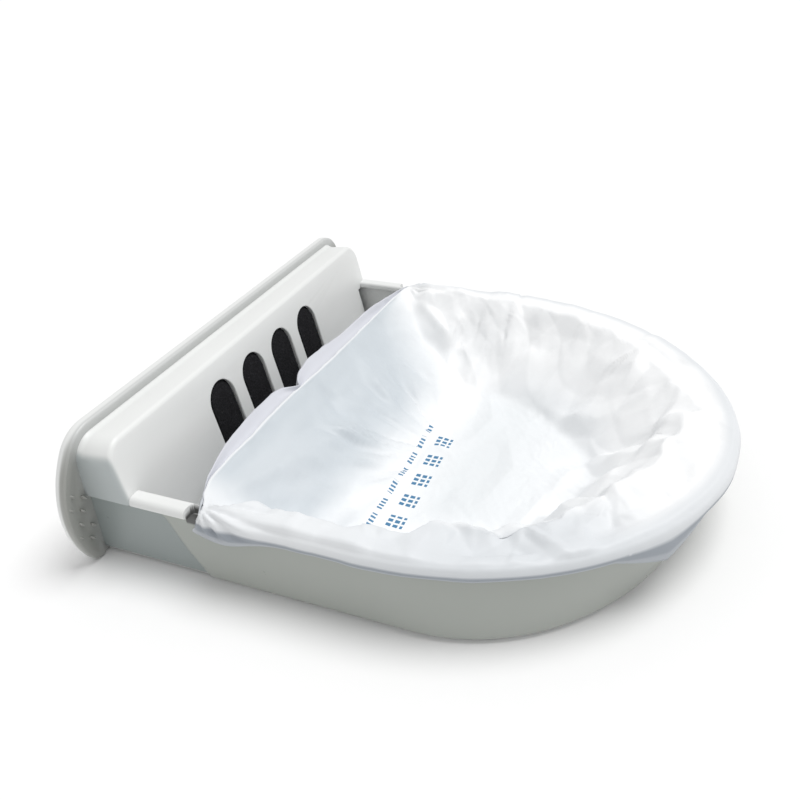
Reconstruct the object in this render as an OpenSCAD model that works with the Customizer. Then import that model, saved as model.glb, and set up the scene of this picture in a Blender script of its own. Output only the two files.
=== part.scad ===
// Slide-in bedpan: a D-shaped tub with an end plate, a raised odour-filter
// housing with a slotted face, a filter cassette that pulls out at the back,
// and a disposable liner bag that hooks into two notches in the rim.

/* [Tub] */
// Width over the rim
rim_w = 290; // [270:1:310]
// Length from the end plate's front face to the tip of the rim
pan_len = 303; // [280:1:330]
// Height of the rim's top face above the surface it stands on
rim_h = 43.3; // [40:0.1:48]
// Thickness of the floor and of the side walls
wall = 3; // [2.5:0.1:4]
// Width of the rim flange
flange_w = 9; // [7:0.5:11]
// Depth of the rim's down-turned edge
rim_drop = 4.8; // [4:0.1:6]

/* [Liner notches] */
// Distance from the end plate to the back edge of each notch
notch_y = 59; // [50:1:70]
// Width of each notch
notch_w = 8; // [6:0.5:10]

/* [End plate] */
// Height of the end plate
plate_h = 76; // [72:1:84]
// Thickness of the end plate over its rolled edge
plate_t = 8; // [7:0.5:10]

/* [Filter housing] */
// Height of the housing's front edge
housing_h = 70.5; // [68:0.5:72]
// Depth of the housing at its top
housing_d = 19.5; // [17:0.5:22]
// Backward lean of the slotted face, in degrees
face_lean = 13.4; // [10:0.2:16]
// Width of one vent slot
slot_w = 24.7; // [20:0.1:27]
// Distance from one vent slot to the next
slot_pitch = 35; // [30:0.5:36]

/* [Filter cassette] */
// Width of the cassette where it passes through the end plate
cassette_w = 150; // [140:1:156]
// Thickness of the odour-filter foam
foam_t = 8; // [6:0.5:10]

/* [Liner bag] */
// Thickness of the bag's film, drawn much thicker than real film
film_t = 0.8; // [0.6:0.1:1.2]
// How far the bag's skirt hangs down outside the rim
skirt_h = 13; // [8:1:20]

/* [Hidden] */
$fn = 48;

rim_x = rim_w / 2;
clear = 0.5;                 // gap between parts that move apart
nose_steps = 36;             // steps round the half ellipse of the nose

// tub outline: half width, nose tip and nose depth at the floor and at the rim
floor_x = rim_x - 1.7;
floor_tip = pan_len - 18;
floor_nose = 111;
rim_nose = 152.5;
floor_r = 5;                 // radius between the floor and the walls
rim_r = 3;                   // radius of the rim's upper edges
rear_step = 1.6;             // how far the rear of the floor and walls is set back
step_y = 67.8;               // where that step lies

// filter housing
lean_run = tan(face_lean);
housing_skin = 3;
housing_x = rim_x;           // half width of the housing, flush with the rim
seat_z = rim_h - rim_drop;   // where the housing sits on the tub walls
rear_z = housing_h - 2;      // height of the housing where it meets the plate
corner_r = 12;               // radius of the housing's top corners
slot_top = 58.5;
slot_low = 12;
slot_n = 4;

// cassette, plate window and cover
win_x = cassette_w / 2;
win_low = 13;
win_top = 62;
tray_wall = 2;
cover_t = 3;
cover_lap = 5.5;             // how far the cover laps over the plate round the window
cover_r = 6;                 // radius of the cover's corners
pocket_x = 36;
pocket_low = 25;
pocket_top = 50;
pocket_d = 11;
web_t = 4;                   // thickness of the end plate inside its rolled edge
seal_t = 1;
seat_gap = 0.3;              // gap between the closed cassette and the plate
cover_y = web_t + seat_gap + seal_t;

// screws
shank_r = 1.7;
pilot_r = 1.75;
head_r = 3.5;
head_h = 2;
boss_r = 4;
boss_len = 14;
tub_screws = [[-126, 13], [-126, 31], [126, 13], [126, 31], [-100, 13], [100, 13]];
housing_bosses = [[-135, 55], [-100, 63], [100, 63], [135, 55]];

// liner bag
bag_rear = notch_y + 3;      // the taut rear edge, held in the notches
bag_slope_y = 125;           // where the bag's sloping rear wall meets the floor

// the origin is at the centre of the whole part, on the surface it stands on
bag_tip = pan_len + clear + film_t;
cover_back = cover_y + cover_t + 1;
origin_y = (bag_tip - cover_back) / 2;

module place() {
    translate([0, origin_y, 0]) children();
}

// where the slotted face lies at height z, measured forward from the plate
function face_y(z) = housing_d + (housing_h - z) * lean_run;

// One ring of the D-shaped outline: half width x, nose tip, nose depth, rear edge, height.
// The rear corners come first and last, and the half ellipse of the nose lies between.
function d_ring(x, tip, nose, rear, z) = concat(
    [[x, -rear, z]],
    [for (i = [0:nose_steps])
        let (a = 180 * i / nose_steps)
        [x * cos(a), -(tip - nose) - nose * sin(a), z]],
    [[-x, -rear, z]]);

// A closed skin over a stack of rings, with a flat cap on the first and the last.
module skin(rings) {
    n = len(rings[0]);
    m = len(rings);
    sides = [for (j = [0:m - 2], i = [0:n - 1])
        let (k = (i + 1) % n)
        each [[j * n + i, j * n + k, (j + 1) * n + k],
              [j * n + i, (j + 1) * n + k, (j + 1) * n + i]]];
    first = [for (i = [n - 1:-1:0]) i];
    last = [for (i = [0:n - 1]) (m - 1) * n + i];
    polyhedron([for (r = rings) each r], concat([first], sides, [last]), convexity = 6);
}

function mix(a, b, t) = a + (b - a) * t;

// ring of the tub's wall at height z, moved inwards by inset
function wall_ring(z, inset, rear) =
    let (t = z / rim_h)
    d_ring(mix(floor_x, rim_x - 1, t) - inset, mix(floor_tip, pan_len - 4, t) - inset,
           mix(floor_nose, rim_nose - 4, t) - inset, rear, z);

// ring of the rim at height z, moved inwards from its outer edge by inset
function rim_ring(z, inset, rear) =
    d_ring(rim_x - inset, pan_len - inset, rim_nose - inset, rear, z);

module tub_solid() {
    rounds = [0:15:90];
    under = [for (a = rounds) wall_ring(floor_r * (1 - cos(a)), floor_r * (1 - sin(a)), 0)];
    over = [for (a = rounds) rim_ring(rim_h - rim_r * (1 - sin(a)), rim_r * (1 - cos(a)), 0)];
    skin(concat(under, [wall_ring(seat_z - 0.4, 0, 0)], [rim_ring(seat_z, 0, 0)], over));
}

module tub_hollow() {
    rounds = [0:15:90];
    floor_in = 5;
    low = [for (a = rounds)
        wall_ring(wall + floor_in * (1 - cos(a)), wall + 1 + floor_in * (1 - sin(a)), wall)];
    lip = [for (a = rounds)
        rim_ring(rim_h - rim_r * (1 - sin(a)) + 0.01, flange_w - rim_r * (1 - cos(a)), wall)];
    skin(concat(low, [wall_ring(seat_z - 1, wall + 1, wall)], lip,
                [rim_ring(rim_h + 5, flange_w - rim_r, wall)]));
}

// a round-ended notch through the rim on the +X side
module rim_notch() {
    inner = rim_x - flange_w + 2;
    r = 2;
    translate([inner + r, -notch_y - notch_w / 2, seat_z - 0.2])
        linear_extrude(10)
            union() {
                translate([-r, -notch_w / 2 + r]) square([30, notch_w - 2 * r]);
                translate([0, -notch_w / 2]) square([30, notch_w]);
                for (s = [-1, 1])
                    translate([0, s * (notch_w / 2 - r)]) circle(r);
            }
}

// the rear stretch of the tub is set back, along a slanted edge on the +X side
module rear_setback() {
    translate([rim_x - 1.7 - rear_step, 0, 0])
        rotate([90, 0, 90])
            linear_extrude(10)
                polygon([[1, seat_z - 1.5], [-46, seat_z - 1.5], [-46.9, 33.9],
                         [-55.3, 17.9], [-67, 1.5], [-step_y, -1], [1, -1]]);
}

module screw_boss(r_hole) {
    rotate([90, 0, 0])
        difference() {
            cylinder(r = boss_r, h = boss_len);
            translate([0, 0, -1]) cylinder(r = r_hole, h = boss_len - 1);
        }
}

module pan_tub() {
    color("whitesmoke") place() {
        difference() {
            tub_solid();
            tub_hollow();
            for (s = [0, 1]) mirror([s, 0, 0]) {
                rim_notch();
                rear_setback();
            }
            // the rim is cut away behind the slotted face, where the housing sits
            translate([-rim_x - 1, -face_y(rim_h) - clear, seat_z - 0.2])
                cube([rim_w + 2, face_y(rim_h) + clear + 1, 20]);
            translate([-rim_x, -step_y, -1]) cube([rim_w, step_y + 1, rear_step + 1]);
            // opening in the rear wall for the cassette
            translate([-win_x - 1, -wall - 1, win_low - 1])
                cube([cassette_w + 2, wall + 2, 60]);
            for (p = tub_screws)
                translate([p.x, 1, p.y]) rotate([90, 0, 0]) cylinder(r = pilot_r, h = wall + 2);
        }
        for (p = tub_screws)
            translate([p.x, -wall + 0.01, p.y]) screw_boss(pilot_r);
    }
}

// End plate outline, moved inwards by inset. The side arc and the two corner
// arcs keep their centres, so an inset only shortens their radii.
side_c = [105, 33.3];
side_r = 56;
top_r = 22;
low_r = 8;
top_c = [side_c.x + sqrt(pow(side_r - top_r, 2) - pow(plate_h - top_r - side_c.y, 2)), plate_h - top_r];
low_c = [side_c.x + sqrt(pow(side_r - low_r, 2) - pow(low_r - side_c.y, 2)), low_r];
top_a = atan2(top_c.y - side_c.y, top_c.x - side_c.x);
low_a = atan2(low_c.y - side_c.y, low_c.x - side_c.x);

function arc(c, r, a, b, n) = [for (i = [0:n]) let (t = mix(a, b, i / n)) c + r * [cos(t), sin(t)]];

function plate_half(inset) = concat(
    arc(low_c, low_r - inset, -90, low_a, 6),
    arc(side_c, side_r - inset, low_a + 3, top_a - 3, 12),
    arc(top_c, top_r - inset, top_a, 90, 9));

function plate_ring(inset, y) =
    let (half = plate_half(inset), n = len(half))
    concat([for (p = half) [p.x, y, p.y]],
           [for (i = [n - 1:-1:0]) [-half[i].x, y, half[i].y]]);

module plate_solid() {
    bead = 6.5;
    edge = [for (a = [0:18:180])
        plate_ring(2.6 * (1 - sin(a)), plate_t / 2 - 0.6 - (plate_t / 2 + 0.6 - 0.6) * cos(a))];
    skin(concat([plate_ring(bead + 1, 0)], [plate_ring(bead, -0.2)], [plate_ring(4.5, -0.6)],
                edge, [plate_ring(5.5, plate_t - 0.6)], [plate_ring(bead, web_t)],
                [plate_ring(bead + 1, web_t)]));
}

// short raised marks on the plate's face near its lower outer ends, in slanted pairs
module plate_marks() {
    for (group = [0, 1], row = [0, 1], col = [0, 1])
        translate([154.5 - 1.2 * group + 2.7 * row - 7.2 * col, -1,
                   45 - 18.4 * group - 6.6 * row - 5.5 * col])
            rotate([0, 40, 0])
                translate([-0.5, 0, -1.8]) cube([1, 1.4, 3.6]);
}

module end_plate() {
    color("whitesmoke") place()
        difference() {
            union() {
                plate_solid();
                for (s = [0, 1]) mirror([s, 0, 0]) plate_marks();
            }
            translate([-win_x, -2, win_low]) cube([cassette_w, plate_t + 4, win_top - win_low]);
            // flat where the tub's rear wall meets it
            translate([1 - rim_x, -2, -1]) cube([rim_w - 2, 2, seat_z + 1]);
            for (p = concat(tub_screws, housing_bosses))
                translate([p.x, plate_t, p.y]) rotate([90, 0, 0]) cylinder(r = 2.1, h = plate_t + 2);
        }
}

// Housing outline in the plane of the slotted face, moved inwards by inset,
// at depth back from the face. The last rings meet the plate.
function housing_ring(inset, depth, top) =
    let (x = housing_x - inset, r = max(corner_r - inset, 2), z = top - inset)
    let (half = concat([[x, seat_z + 0.3]], arc([x - r, z - r], r, 0, 90, 8)))
    let (n = len(half), all = concat(half, [for (i = [n - 1:-1:0]) [-half[i].x, half[i].y]]))
    [for (p = all) [p.x, -(face_y(p.y) - depth), p.y]];

function housing_at(y, grow) =
    let (x = housing_x, z = rear_z + 2 * y / housing_d + grow, r = corner_r)
    let (half = concat([[x, seat_z + 0.3]], arc([x - r, z - r], r, 0, 90, 8)))
    let (n = len(half), all = concat(half, [for (i = [n - 1:-1:0]) [-half[i].x, half[i].y]]))
    [for (p = all) [p.x, -y, p.y]];

module housing_solid() {
    round_r = 2.4;
    front = [for (a = [90:-15:0])
        housing_ring(round_r * (1 - cos(a)), round_r * (1 - sin(a)), housing_h)];
    // the flare stops short of the plate's raised edge, then steps in to its flat face
    back = [for (g = [[5, 0], [3, 0.4], [1.7, 1.1], [0.7, 2.4], [0, -0.2]]) housing_at(g.x, g.y)];
    skin(concat(front, back));
}

// the leaning panel that carries the slots and closes the tub's rear
module face_panel() {
    low = wall + 0.3;
    top = seat_z + 4;
    x = rim_x - flange_w - 2;
    translate([-x, 0, 0])
        rotate([90, 0, 90])
            linear_extrude(2 * x)
                polygon([[-face_y(top), top], [-face_y(low), low],
                         [-face_y(low) + housing_skin, low], [-face_y(top) + housing_skin, top]]);
}

module vent_slot() {
    r = slot_w / 2;
    rotate([90, 0, 0])
        linear_extrude(60)
            union() {
                translate([0, slot_top - r]) circle(r);
                translate([0, slot_low + r]) circle(r);
                translate([-r, slot_low + r]) square([slot_w, slot_top - slot_low - slot_w]);
            }
}

module filter_housing() {
    hollow_x = housing_x - 7;
    color("gainsboro") place() {
        difference() {
            union() {
                housing_solid();
                face_panel();
            }
            translate([-hollow_x, 0, 0])
                rotate([90, 0, 90])
                    linear_extrude(2 * hollow_x)
                        polygon([[1, -1], [-face_y(0) + housing_skin, 0],
                                 [-face_y(rear_z - housing_skin) + housing_skin, rear_z - housing_skin],
                                 [1, rear_z - housing_skin]]);
            for (i = [0:slot_n - 1])
                translate([(i - (slot_n - 1) / 2) * slot_pitch, 0, 0]) vent_slot();
        }
        for (p = housing_bosses)
            translate([p.x, 0, p.y]) screw_boss(pilot_r);
    }
}

// the foam slab stands against the slotted face and leans with it
module filter_foam() {
    front = housing_skin + clear;
    color("black") place()
        lean_slab(win_x - 4, win_low + 3, win_top - 3, front, front + foam_t);
}

// plate of thickness t at y, round-cornered, that laps past the window all round
module window_plate(y, lap, r, t) {
    x = win_x + lap - r;
    low = win_low - lap + r;
    top = win_top + lap - r;
    translate([0, y + t, 0])
        rotate([90, 0, 0])
            linear_extrude(t)
                union() {
                    translate([-x - r, low]) square([2 * (x + r), top - low]);
                    translate([-x, low - r]) square([2 * x, top - low + 2 * r]);
                    for (cx = [-x, x], cy = [low, top])
                        translate([cx, cy]) circle(r);
                }
}

// leaning slab behind the slotted face, from front to back of it, |x| up to x
module lean_slab(x, low, top, front, back) {
    translate([-x, 0, 0])
        rotate([90, 0, 90])
            linear_extrude(2 * x)
                polygon([[-face_y(low) + front, low], [-face_y(top) + front, top],
                         [-face_y(top) + back, top], [-face_y(low) + back, low]]);
}

// open frame that carries the foam and joins it to the cover
module filter_tray() {
    x = win_x - clear;
    low = win_low + clear;
    top = win_top - clear;
    front = housing_skin + clear + 0.6;
    bar_low = low + tray_wall + 3;
    bar_top = top - tray_wall - 3;
    color("whitesmoke") place()
        difference() {
            translate([-x, 0, 0])
                rotate([90, 0, 90])
                    linear_extrude(2 * x)
                        polygon([[-face_y(low) + front, low], [-face_y(top) + front, top],
                                 [cover_y, top], [cover_y, low]]);
            // the pocket that the foam fills
            lean_slab(win_x - 3.7, win_low + 2.7, win_top - 2.7, -10, housing_skin + clear + foam_t + 0.2);
            // open behind the foam, except for the bars between the vents
            for (s = [-1, 1], i = [0:2])
                translate([s * (pocket_x + 8 + 11 * i) - 4.5, -30, bar_low])
                    cube([9, 50, bar_top - bar_low]);
            translate([-pocket_x - 1, -30, bar_low])
                cube([2 * pocket_x + 2, 50, bar_top - bar_low]);
        }
}

// rear cover with a finger pocket and vents
module filter_cover() {
    color("whitesmoke") place()
        difference() {
            union() {
                window_plate(cover_y, cover_lap, cover_r, cover_t);
                translate([-pocket_x, cover_y - pocket_d + cover_t, pocket_low])
                    cube([2 * pocket_x, pocket_d, pocket_top - pocket_low]);
                // lip over the finger pocket
                translate([-pocket_x, cover_y + cover_t - 1, pocket_top - 3])
                    cube([2 * pocket_x, 2, 5]);
            }
            translate([-pocket_x + 2, cover_y - pocket_d + cover_t + 2, pocket_low + 2])
                cube([2 * pocket_x - 4, pocket_d + 5, pocket_top - pocket_low - 10]);
            translate([-pocket_x + 2, cover_y - pocket_d + cover_t + 2, pocket_low + 2])
                cube([2 * pocket_x - 4, pocket_d - 4, pocket_top - pocket_low - 4]);
            for (s = [-1, 1], i = [0:2])
                translate([s * (pocket_x + 8 + 11 * i), cover_y + cover_t + 1, 0])
                    rotate([90, 0, 0])
                        linear_extrude(cover_t + 2)
                            union() {
                                translate([-2, 25]) square([4, 25]);
                                translate([0, 25]) circle(2);
                                translate([0, 50]) circle(2);
                            }
        }
}

module cover_seal() {
    color("dimgray") place()
        difference() {
            window_plate(web_t + seat_gap, cover_lap - 2, cover_r - 2, seal_t);
            translate([-win_x, web_t - 1, win_low])
                cube([cassette_w, seal_t + 3, win_top - win_low]);
        }
}

// pan-head screw along -Y with a cross recess, head resting on the plate
module screw(len) {
    rotate([90, 0, 0]) {
        cylinder(r = shank_r, h = len);
        difference() {
            translate([0, 0, -head_h]) cylinder(r1 = head_r - 0.8, r2 = head_r, h = head_h);
            for (a = [0, 90])
                rotate([0, 0, a]) translate([-2, -0.4, -head_h - 1]) cube([4, 0.8, 2]);
        }
    }
}

module plate_screws() {
    color("silver") place()
        for (p = tub_screws) translate([p.x, web_t, p.y]) screw(web_t + wall + 10);
}

module housing_screws() {
    color("silver") place()
        for (p = housing_bosses) translate([p.x, web_t, p.y]) screw(web_t + 10);
}

// One ring of the bag. Its rear corners have a height of their own, because
// the taut rear edge crosses the notches, and the skirt drops just past them.
function bag_ring(x, tip, nose, z, rear, rear_z) = concat(
    [[x - 1, -rear, rear_z]],
    d_ring(x, tip, nose, rear + notch_w - 1, z),
    [[1 - x, -rear, rear_z]]);

// The film's two faces: t = 0 is the face towards the tub, t = film_t the other.
// The rings run from the skirt's hem over the rim and down to the floor.
function bag_rings(t) =
    let (out = rim_x + clear + t, tip = pan_len + clear + t, nose = rim_nose + t)
    let (top = rim_h + clear + t, in = rim_x - flange_w - clear - t)
    [bag_ring(out, tip, nose, rim_h - skirt_h, bag_rear - 1.5 - t, rim_h + 0.35),
     bag_ring(out, tip, nose, rim_h - 1, bag_rear - 1.2 - t, rim_h + 0.42),
     bag_ring(out - 1.5, tip - 1.5, nose - 1.5, top, bag_rear - 0.3, top),
     bag_ring(in, in + pan_len - rim_x, nose - flange_w - 1 - 2 * t, top - 0.3, bag_rear + 0.7 + t, top - 0.4),
     bag_ring(in - 2.5, in + pan_len - rim_x - 5, nose - 15 - t, rim_h - 8, bag_rear + 8 + t, rim_h - 7),
     bag_ring(in - 8, floor_tip - 8.5 - t, floor_nose + 0.5 - t, 15 + t, bag_slope_y - 22 + t, 15 + t),
     bag_ring(in - 14, floor_tip - 15 - t, floor_nose - 11 - t, wall + 3 + t, bag_slope_y - 6 + t, wall + 3.1 + t),
     bag_ring(in - 20, floor_tip - 21 - t, floor_nose - 17 - t, wall + 0.35 + t, bag_slope_y + 6 + t,
              wall + 0.35 + t)];

module liner_bag() {
    under = bag_rings(0);
    over = bag_rings(film_t);
    m = len(under);
    color("aliceblue") place()
        skin(concat([for (i = [m - 1:-1:0]) under[i]], over));
}

pan_tub();
end_plate();
filter_housing();
filter_foam();
filter_tray();
filter_cover();
cover_seal();
plate_screws();
housing_screws();
liner_bag();
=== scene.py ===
"""Builds the looks of a slide-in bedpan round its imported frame: a white moulded
tub with an end plate and a slotted odour-filter housing, a black foam filter,
and a thin liner bag draped over the rim."""

import math
from itertools import product

import bmesh
import bpy
import numpy as np
from mathutils import Matrix, Vector, noise
from mathutils.bvhtree import BVHTree


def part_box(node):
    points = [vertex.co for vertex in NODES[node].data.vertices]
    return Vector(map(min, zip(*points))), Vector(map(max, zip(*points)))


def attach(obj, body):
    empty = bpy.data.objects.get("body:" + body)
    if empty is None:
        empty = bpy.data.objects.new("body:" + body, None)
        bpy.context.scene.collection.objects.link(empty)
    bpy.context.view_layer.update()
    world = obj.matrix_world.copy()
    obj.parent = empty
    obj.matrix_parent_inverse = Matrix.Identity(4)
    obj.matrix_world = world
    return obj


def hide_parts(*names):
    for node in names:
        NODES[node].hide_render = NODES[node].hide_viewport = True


bl_info = {
    "name": "Slide-in bedpan",
    "version": (1, 0, 0),
    "blender": (4, 5, 0),
    "location": "View3D > Sidebar > Bedpan",
    "description": "Builds the plastics, foam, film and studio of a slide-in bedpan",
    "category": "Object",
}

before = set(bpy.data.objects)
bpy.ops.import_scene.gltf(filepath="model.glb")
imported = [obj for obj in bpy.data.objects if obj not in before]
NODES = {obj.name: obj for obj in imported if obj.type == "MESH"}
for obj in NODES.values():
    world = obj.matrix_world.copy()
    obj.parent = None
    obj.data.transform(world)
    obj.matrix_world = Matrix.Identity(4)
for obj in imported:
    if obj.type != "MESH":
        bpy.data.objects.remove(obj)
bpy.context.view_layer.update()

MM = 0.001
TUB_LOW, TUB_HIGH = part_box("pan_tub")
PLATE_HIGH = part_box("end_plate")[1]
HOUSING_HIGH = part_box("filter_housing")[1]
FOAM_LOW, FOAM_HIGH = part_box("filter_foam")
TRAY_LOW, TRAY_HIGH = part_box("filter_tray")

RIM_X = TUB_HIGH.x / MM  # half the width over the rim, mm
RIM_H = TUB_HIGH.z / MM
PAN_LEN = (TUB_HIGH.y - TUB_LOW.y) / MM
PLATE_H = PLATE_HIGH.z / MM
PLATE_BACK = (PLATE_HIGH.y - TUB_HIGH.y) / MM
HOUSING_H = HOUSING_HIGH.z / MM
ORIGIN = Vector((0, TUB_HIGH.y, 0))  # the end plate's front face, on the floor


# ---------------------------------------------------------------- settings


class PanSettings(bpy.types.PropertyGroup):
    """Sizes of the moulded plastics, in millimetres"""

    flange: bpy.props.FloatProperty(
        name="Rim flange", description="Width of the rim's flat top", default=9.0, min=6, max=12
    )
    rim_drop: bpy.props.FloatProperty(
        name="Rim drop", description="Depth of the rim's down-turned edge", default=4.8, min=3, max=8
    )
    wall: bpy.props.FloatProperty(
        name="Wall", description="Thickness of the floor and walls", default=3.0, min=2, max=4
    )
    notch_y: bpy.props.FloatProperty(
        name="Notch place", description="End plate to the near edge of a notch", default=59.0
    )
    notch_w: bpy.props.FloatProperty(
        name="Notch width", description="Width of the bag notches", default=8.0, min=4, max=12
    )
    face_lean: bpy.props.FloatProperty(
        name="Face lean",
        description="Backward lean of the slotted face",
        default=math.radians(13.4),
        subtype="ANGLE",
    )
    housing_d: bpy.props.FloatProperty(
        name="Housing depth", description="Depth of the filter housing at its top", default=19.5
    )
    slot_w: bpy.props.FloatProperty(
        name="Slot width", description="Width of one vent slot", default=24.7, min=16, max=28
    )
    slot_pitch: bpy.props.FloatProperty(
        name="Slot pitch", description="Distance between neighbouring slots", default=35.0
    )
    slot_top: bpy.props.FloatProperty(
        name="Slot top", description="Height of the slots' round tops", default=58.5
    )
    slot_low: bpy.props.FloatProperty(
        name="Slot foot", description="Height of the slots' round feet", default=12.0
    )
    plastic: bpy.props.FloatVectorProperty(
        name="Plastic colour", subtype="COLOR", size=3, default=(0.80, 0.81, 0.80),
        description="Colour of the white moulded plastic",
    )


class FilterSettings(bpy.types.PropertyGroup):
    """Sizes and colour of the odour filter's foam, in millimetres"""

    cell: bpy.props.FloatProperty(
        name="Foam cell", description="Size of one open cell of the foam", default=0.9, min=0.3, max=3
    )
    rough: bpy.props.FloatProperty(
        name="Foam relief", description="How far the foam's cut face stands up and down", default=0.35
    )
    black: bpy.props.FloatVectorProperty(
        name="Foam colour", subtype="COLOR", size=3, default=(0.006, 0.006, 0.007),
        description="Colour of the carbon-loaded foam",
    )


class BagSettings(bpy.types.PropertyGroup):
    """Sizes and colours of the liner bag, in millimetres"""

    slack: bpy.props.FloatProperty(
        name="Slack", description="How much larger the film is than the tub it lines",
        default=0.06, min=0, max=0.12, subtype="FACTOR",
    )
    film: bpy.props.FloatVectorProperty(
        name="Film colour", subtype="COLOR", size=3, default=(0.875, 0.89, 0.905),
        description="Colour of the milky film",
    )
    ink: bpy.props.FloatVectorProperty(
        name="Ink colour", subtype="COLOR", size=3, default=(0.06, 0.20, 0.36),
        description="Colour of the dashes printed on the film",
    )


class StageSettings(bpy.types.PropertyGroup):
    """The studio's camera and light"""

    lens: bpy.props.FloatProperty(
        name="Lens", description="Focal length, mm on a 36 mm sensor", default=37.157, min=20, max=200
    )
    key: bpy.props.FloatProperty(
        name="Key light", description="Strength of the soft light from above", default=1.9
    )
    fill: bpy.props.FloatProperty(
        name="Fill", description="Strength of the even light from all round", default=0.57
    )


# ---------------------------------------------------------------- meshes


def mix(a, b, t):
    return a + (b - a) * t


def smooth_step(x):
    x = min(max(x, 0.0), 1.0)
    return x * x * (3 - 2 * x)


def new_object(name, mesh, material):
    obj = bpy.data.objects.new(name, mesh)
    bpy.context.scene.collection.objects.link(obj)
    if material:
        mesh.materials.append(material)
    return obj


def mesh_of(name, points, faces):
    """A mesh in metres from points in millimetres in the end plate's frame."""
    mesh = bpy.data.meshes.new(name)
    mesh.from_pydata([(x * MM, y * MM + ORIGIN.y, z * MM) for x, y, z in points], [], faces)
    mesh.update()
    return mesh


def skin(name, rings):
    """A closed mesh over a stack of rings, capped at both ends."""
    n, m = len(rings[0]), len(rings)
    points = [p for ring in rings for p in ring]
    faces = []
    for j in range(m - 1):
        for i in range(n):
            k = (i + 1) % n
            faces.append((j * n + i, (j + 1) * n + i, (j + 1) * n + k, j * n + k))
    faces.append(tuple(range(n)))
    faces.append(tuple((m - 1) * n + i for i in reversed(range(n))))
    mesh = mesh_of(name, points, faces)
    tidy(mesh)
    return mesh


def tidy(mesh, distance=1e-6):
    bm = bmesh.new()
    bm.from_mesh(mesh)
    bmesh.ops.remove_doubles(bm, verts=bm.verts, dist=distance)
    bmesh.ops.dissolve_degenerate(bm, edges=bm.edges, dist=distance / 4)
    bmesh.ops.recalc_face_normals(bm, faces=bm.faces)
    bm.to_mesh(mesh)
    bm.free()


def plain_mesh(obj, name):
    """The evaluated mesh of obj, free of its modifiers."""
    graph = bpy.context.evaluated_depsgraph_get()
    mesh = bpy.data.meshes.new_from_object(obj.evaluated_get(graph))
    mesh.name = name
    return mesh


def apply_modifiers(obj):
    """Turns obj's modifiers into plain mesh."""
    bpy.context.view_layer.update()
    result = plain_mesh(obj, obj.name)
    obj.modifiers.clear()
    old = obj.data
    obj.data = result
    bpy.data.meshes.remove(old)


def cut(obj, cutters):
    """Takes the cutter meshes out of obj."""
    for mesh in cutters:
        tool = new_object("cutter", mesh, None)
        modifier = obj.modifiers.new("cut", "BOOLEAN")
        modifier.operation = "DIFFERENCE"
        modifier.solver = "EXACT"
        modifier.object = tool
        apply_modifiers(obj)
        bpy.data.objects.remove(tool)
        bpy.data.meshes.remove(mesh)


def finish_shading(obj, angle=32):
    obj.data.shade_smooth()
    obj.data.set_sharp_from_angle(angle=math.radians(angle))


def block(low, high):
    """A box mesh between two corners, in millimetres."""
    (x0, y0, z0), (x1, y1, z1) = low, high
    points = [(x, y, z) for z in (z0, z1) for y in (y0, y1) for x in (x0, x1)]
    faces = [(0, 2, 3, 1), (4, 5, 7, 6), (0, 1, 5, 4), (2, 6, 7, 3), (0, 4, 6, 2), (1, 3, 7, 5)]
    return mesh_of("block", points, faces)


# ---------------------------------------------------------------- materials


class Nodes:
    """Short calls that add and link shader nodes in one material."""

    def __init__(self, name):
        self.material = bpy.data.materials.new(name)
        self.material.use_nodes = True
        self.tree = self.material.node_tree
        self.tree.nodes.clear()
        self.out = self.tree.nodes.new("ShaderNodeOutputMaterial")
        self.shader = self.tree.nodes.new("ShaderNodeBsdfPrincipled")
        self.link(self.shader.outputs[0], self.out.inputs["Surface"])

    def link(self, a, b):
        self.tree.links.new(a, b)

    def add(self, kind, **inputs):
        node = self.tree.nodes.new("ShaderNode" + kind)
        for key, value in inputs.items():
            self.put(node, key.replace("_", " "), value)
        return node

    def put(self, node, key, value):
        socket = node.inputs[key]
        if isinstance(value, bpy.types.NodeSocket):
            self.link(value, socket)
        else:
            socket.default_value = value

    def coordinates(self):
        return self.add("TexCoord").outputs["Object"]

    def layer(self, name):
        """The share of a stored layer of the mesh at the point that is being shaded."""
        node = self.add("Attribute")
        node.attribute_name = name
        return node.outputs["Fac"]

    def noise(self, vector, scale, detail=3.0, roughness=0.5):
        node = self.add("TexNoise", Vector=vector, Scale=scale, Detail=detail, Roughness=roughness)
        return node.outputs["Fac"]

    def cells(self, vector, scale):
        return self.add("TexVoronoi", Vector=vector, Scale=scale).outputs["Distance"]

    def ramp(self, value, low, high, to_low=0.0, to_high=1.0):
        node = self.add("MapRange", Value=value)
        for key, number in (("From Min", low), ("From Max", high), ("To Min", to_low), ("To Max", to_high)):
            node.inputs[key].default_value = number
        return node.outputs["Result"]

    def math(self, kind, a, b=0.5):
        node = self.tree.nodes.new("ShaderNodeMath")
        node.operation = kind
        self.put(node, 0, a)
        self.put(node, 1, b)
        return node.outputs[0]

    def blend(self, factor, a, b):
        node = self.tree.nodes.new("ShaderNodeMix")
        node.data_type = "RGBA"
        self.put(node, "Factor", factor)
        for socket, value in ((node.inputs[6], a), (node.inputs[7], b)):
            if isinstance(value, bpy.types.NodeSocket):
                self.link(value, socket)
            else:
                socket.default_value = (*value[:3], 1.0)
        return node.outputs[2]

    def bump(self, height, distance, strength=1.0, normal=None):
        node = self.add("Bump", Height=height, Distance=distance, Strength=strength)
        if normal:
            self.link(normal, node.inputs["Normal"])
        return node.outputs["Normal"]

    def finish(self, **inputs):
        for key, value in inputs.items():
            key = key.replace("_", " ")
            if key == "Base Color" and isinstance(value, tuple):
                value = (*value, 1.0)
            self.put(self.shader, key, value)
        return self.material


def darker(colour, share):
    return tuple(c * share for c in colour)


def tinted_colour(colour, tint):
    return tuple(c * t for c, t in zip(colour, tint))


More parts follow.
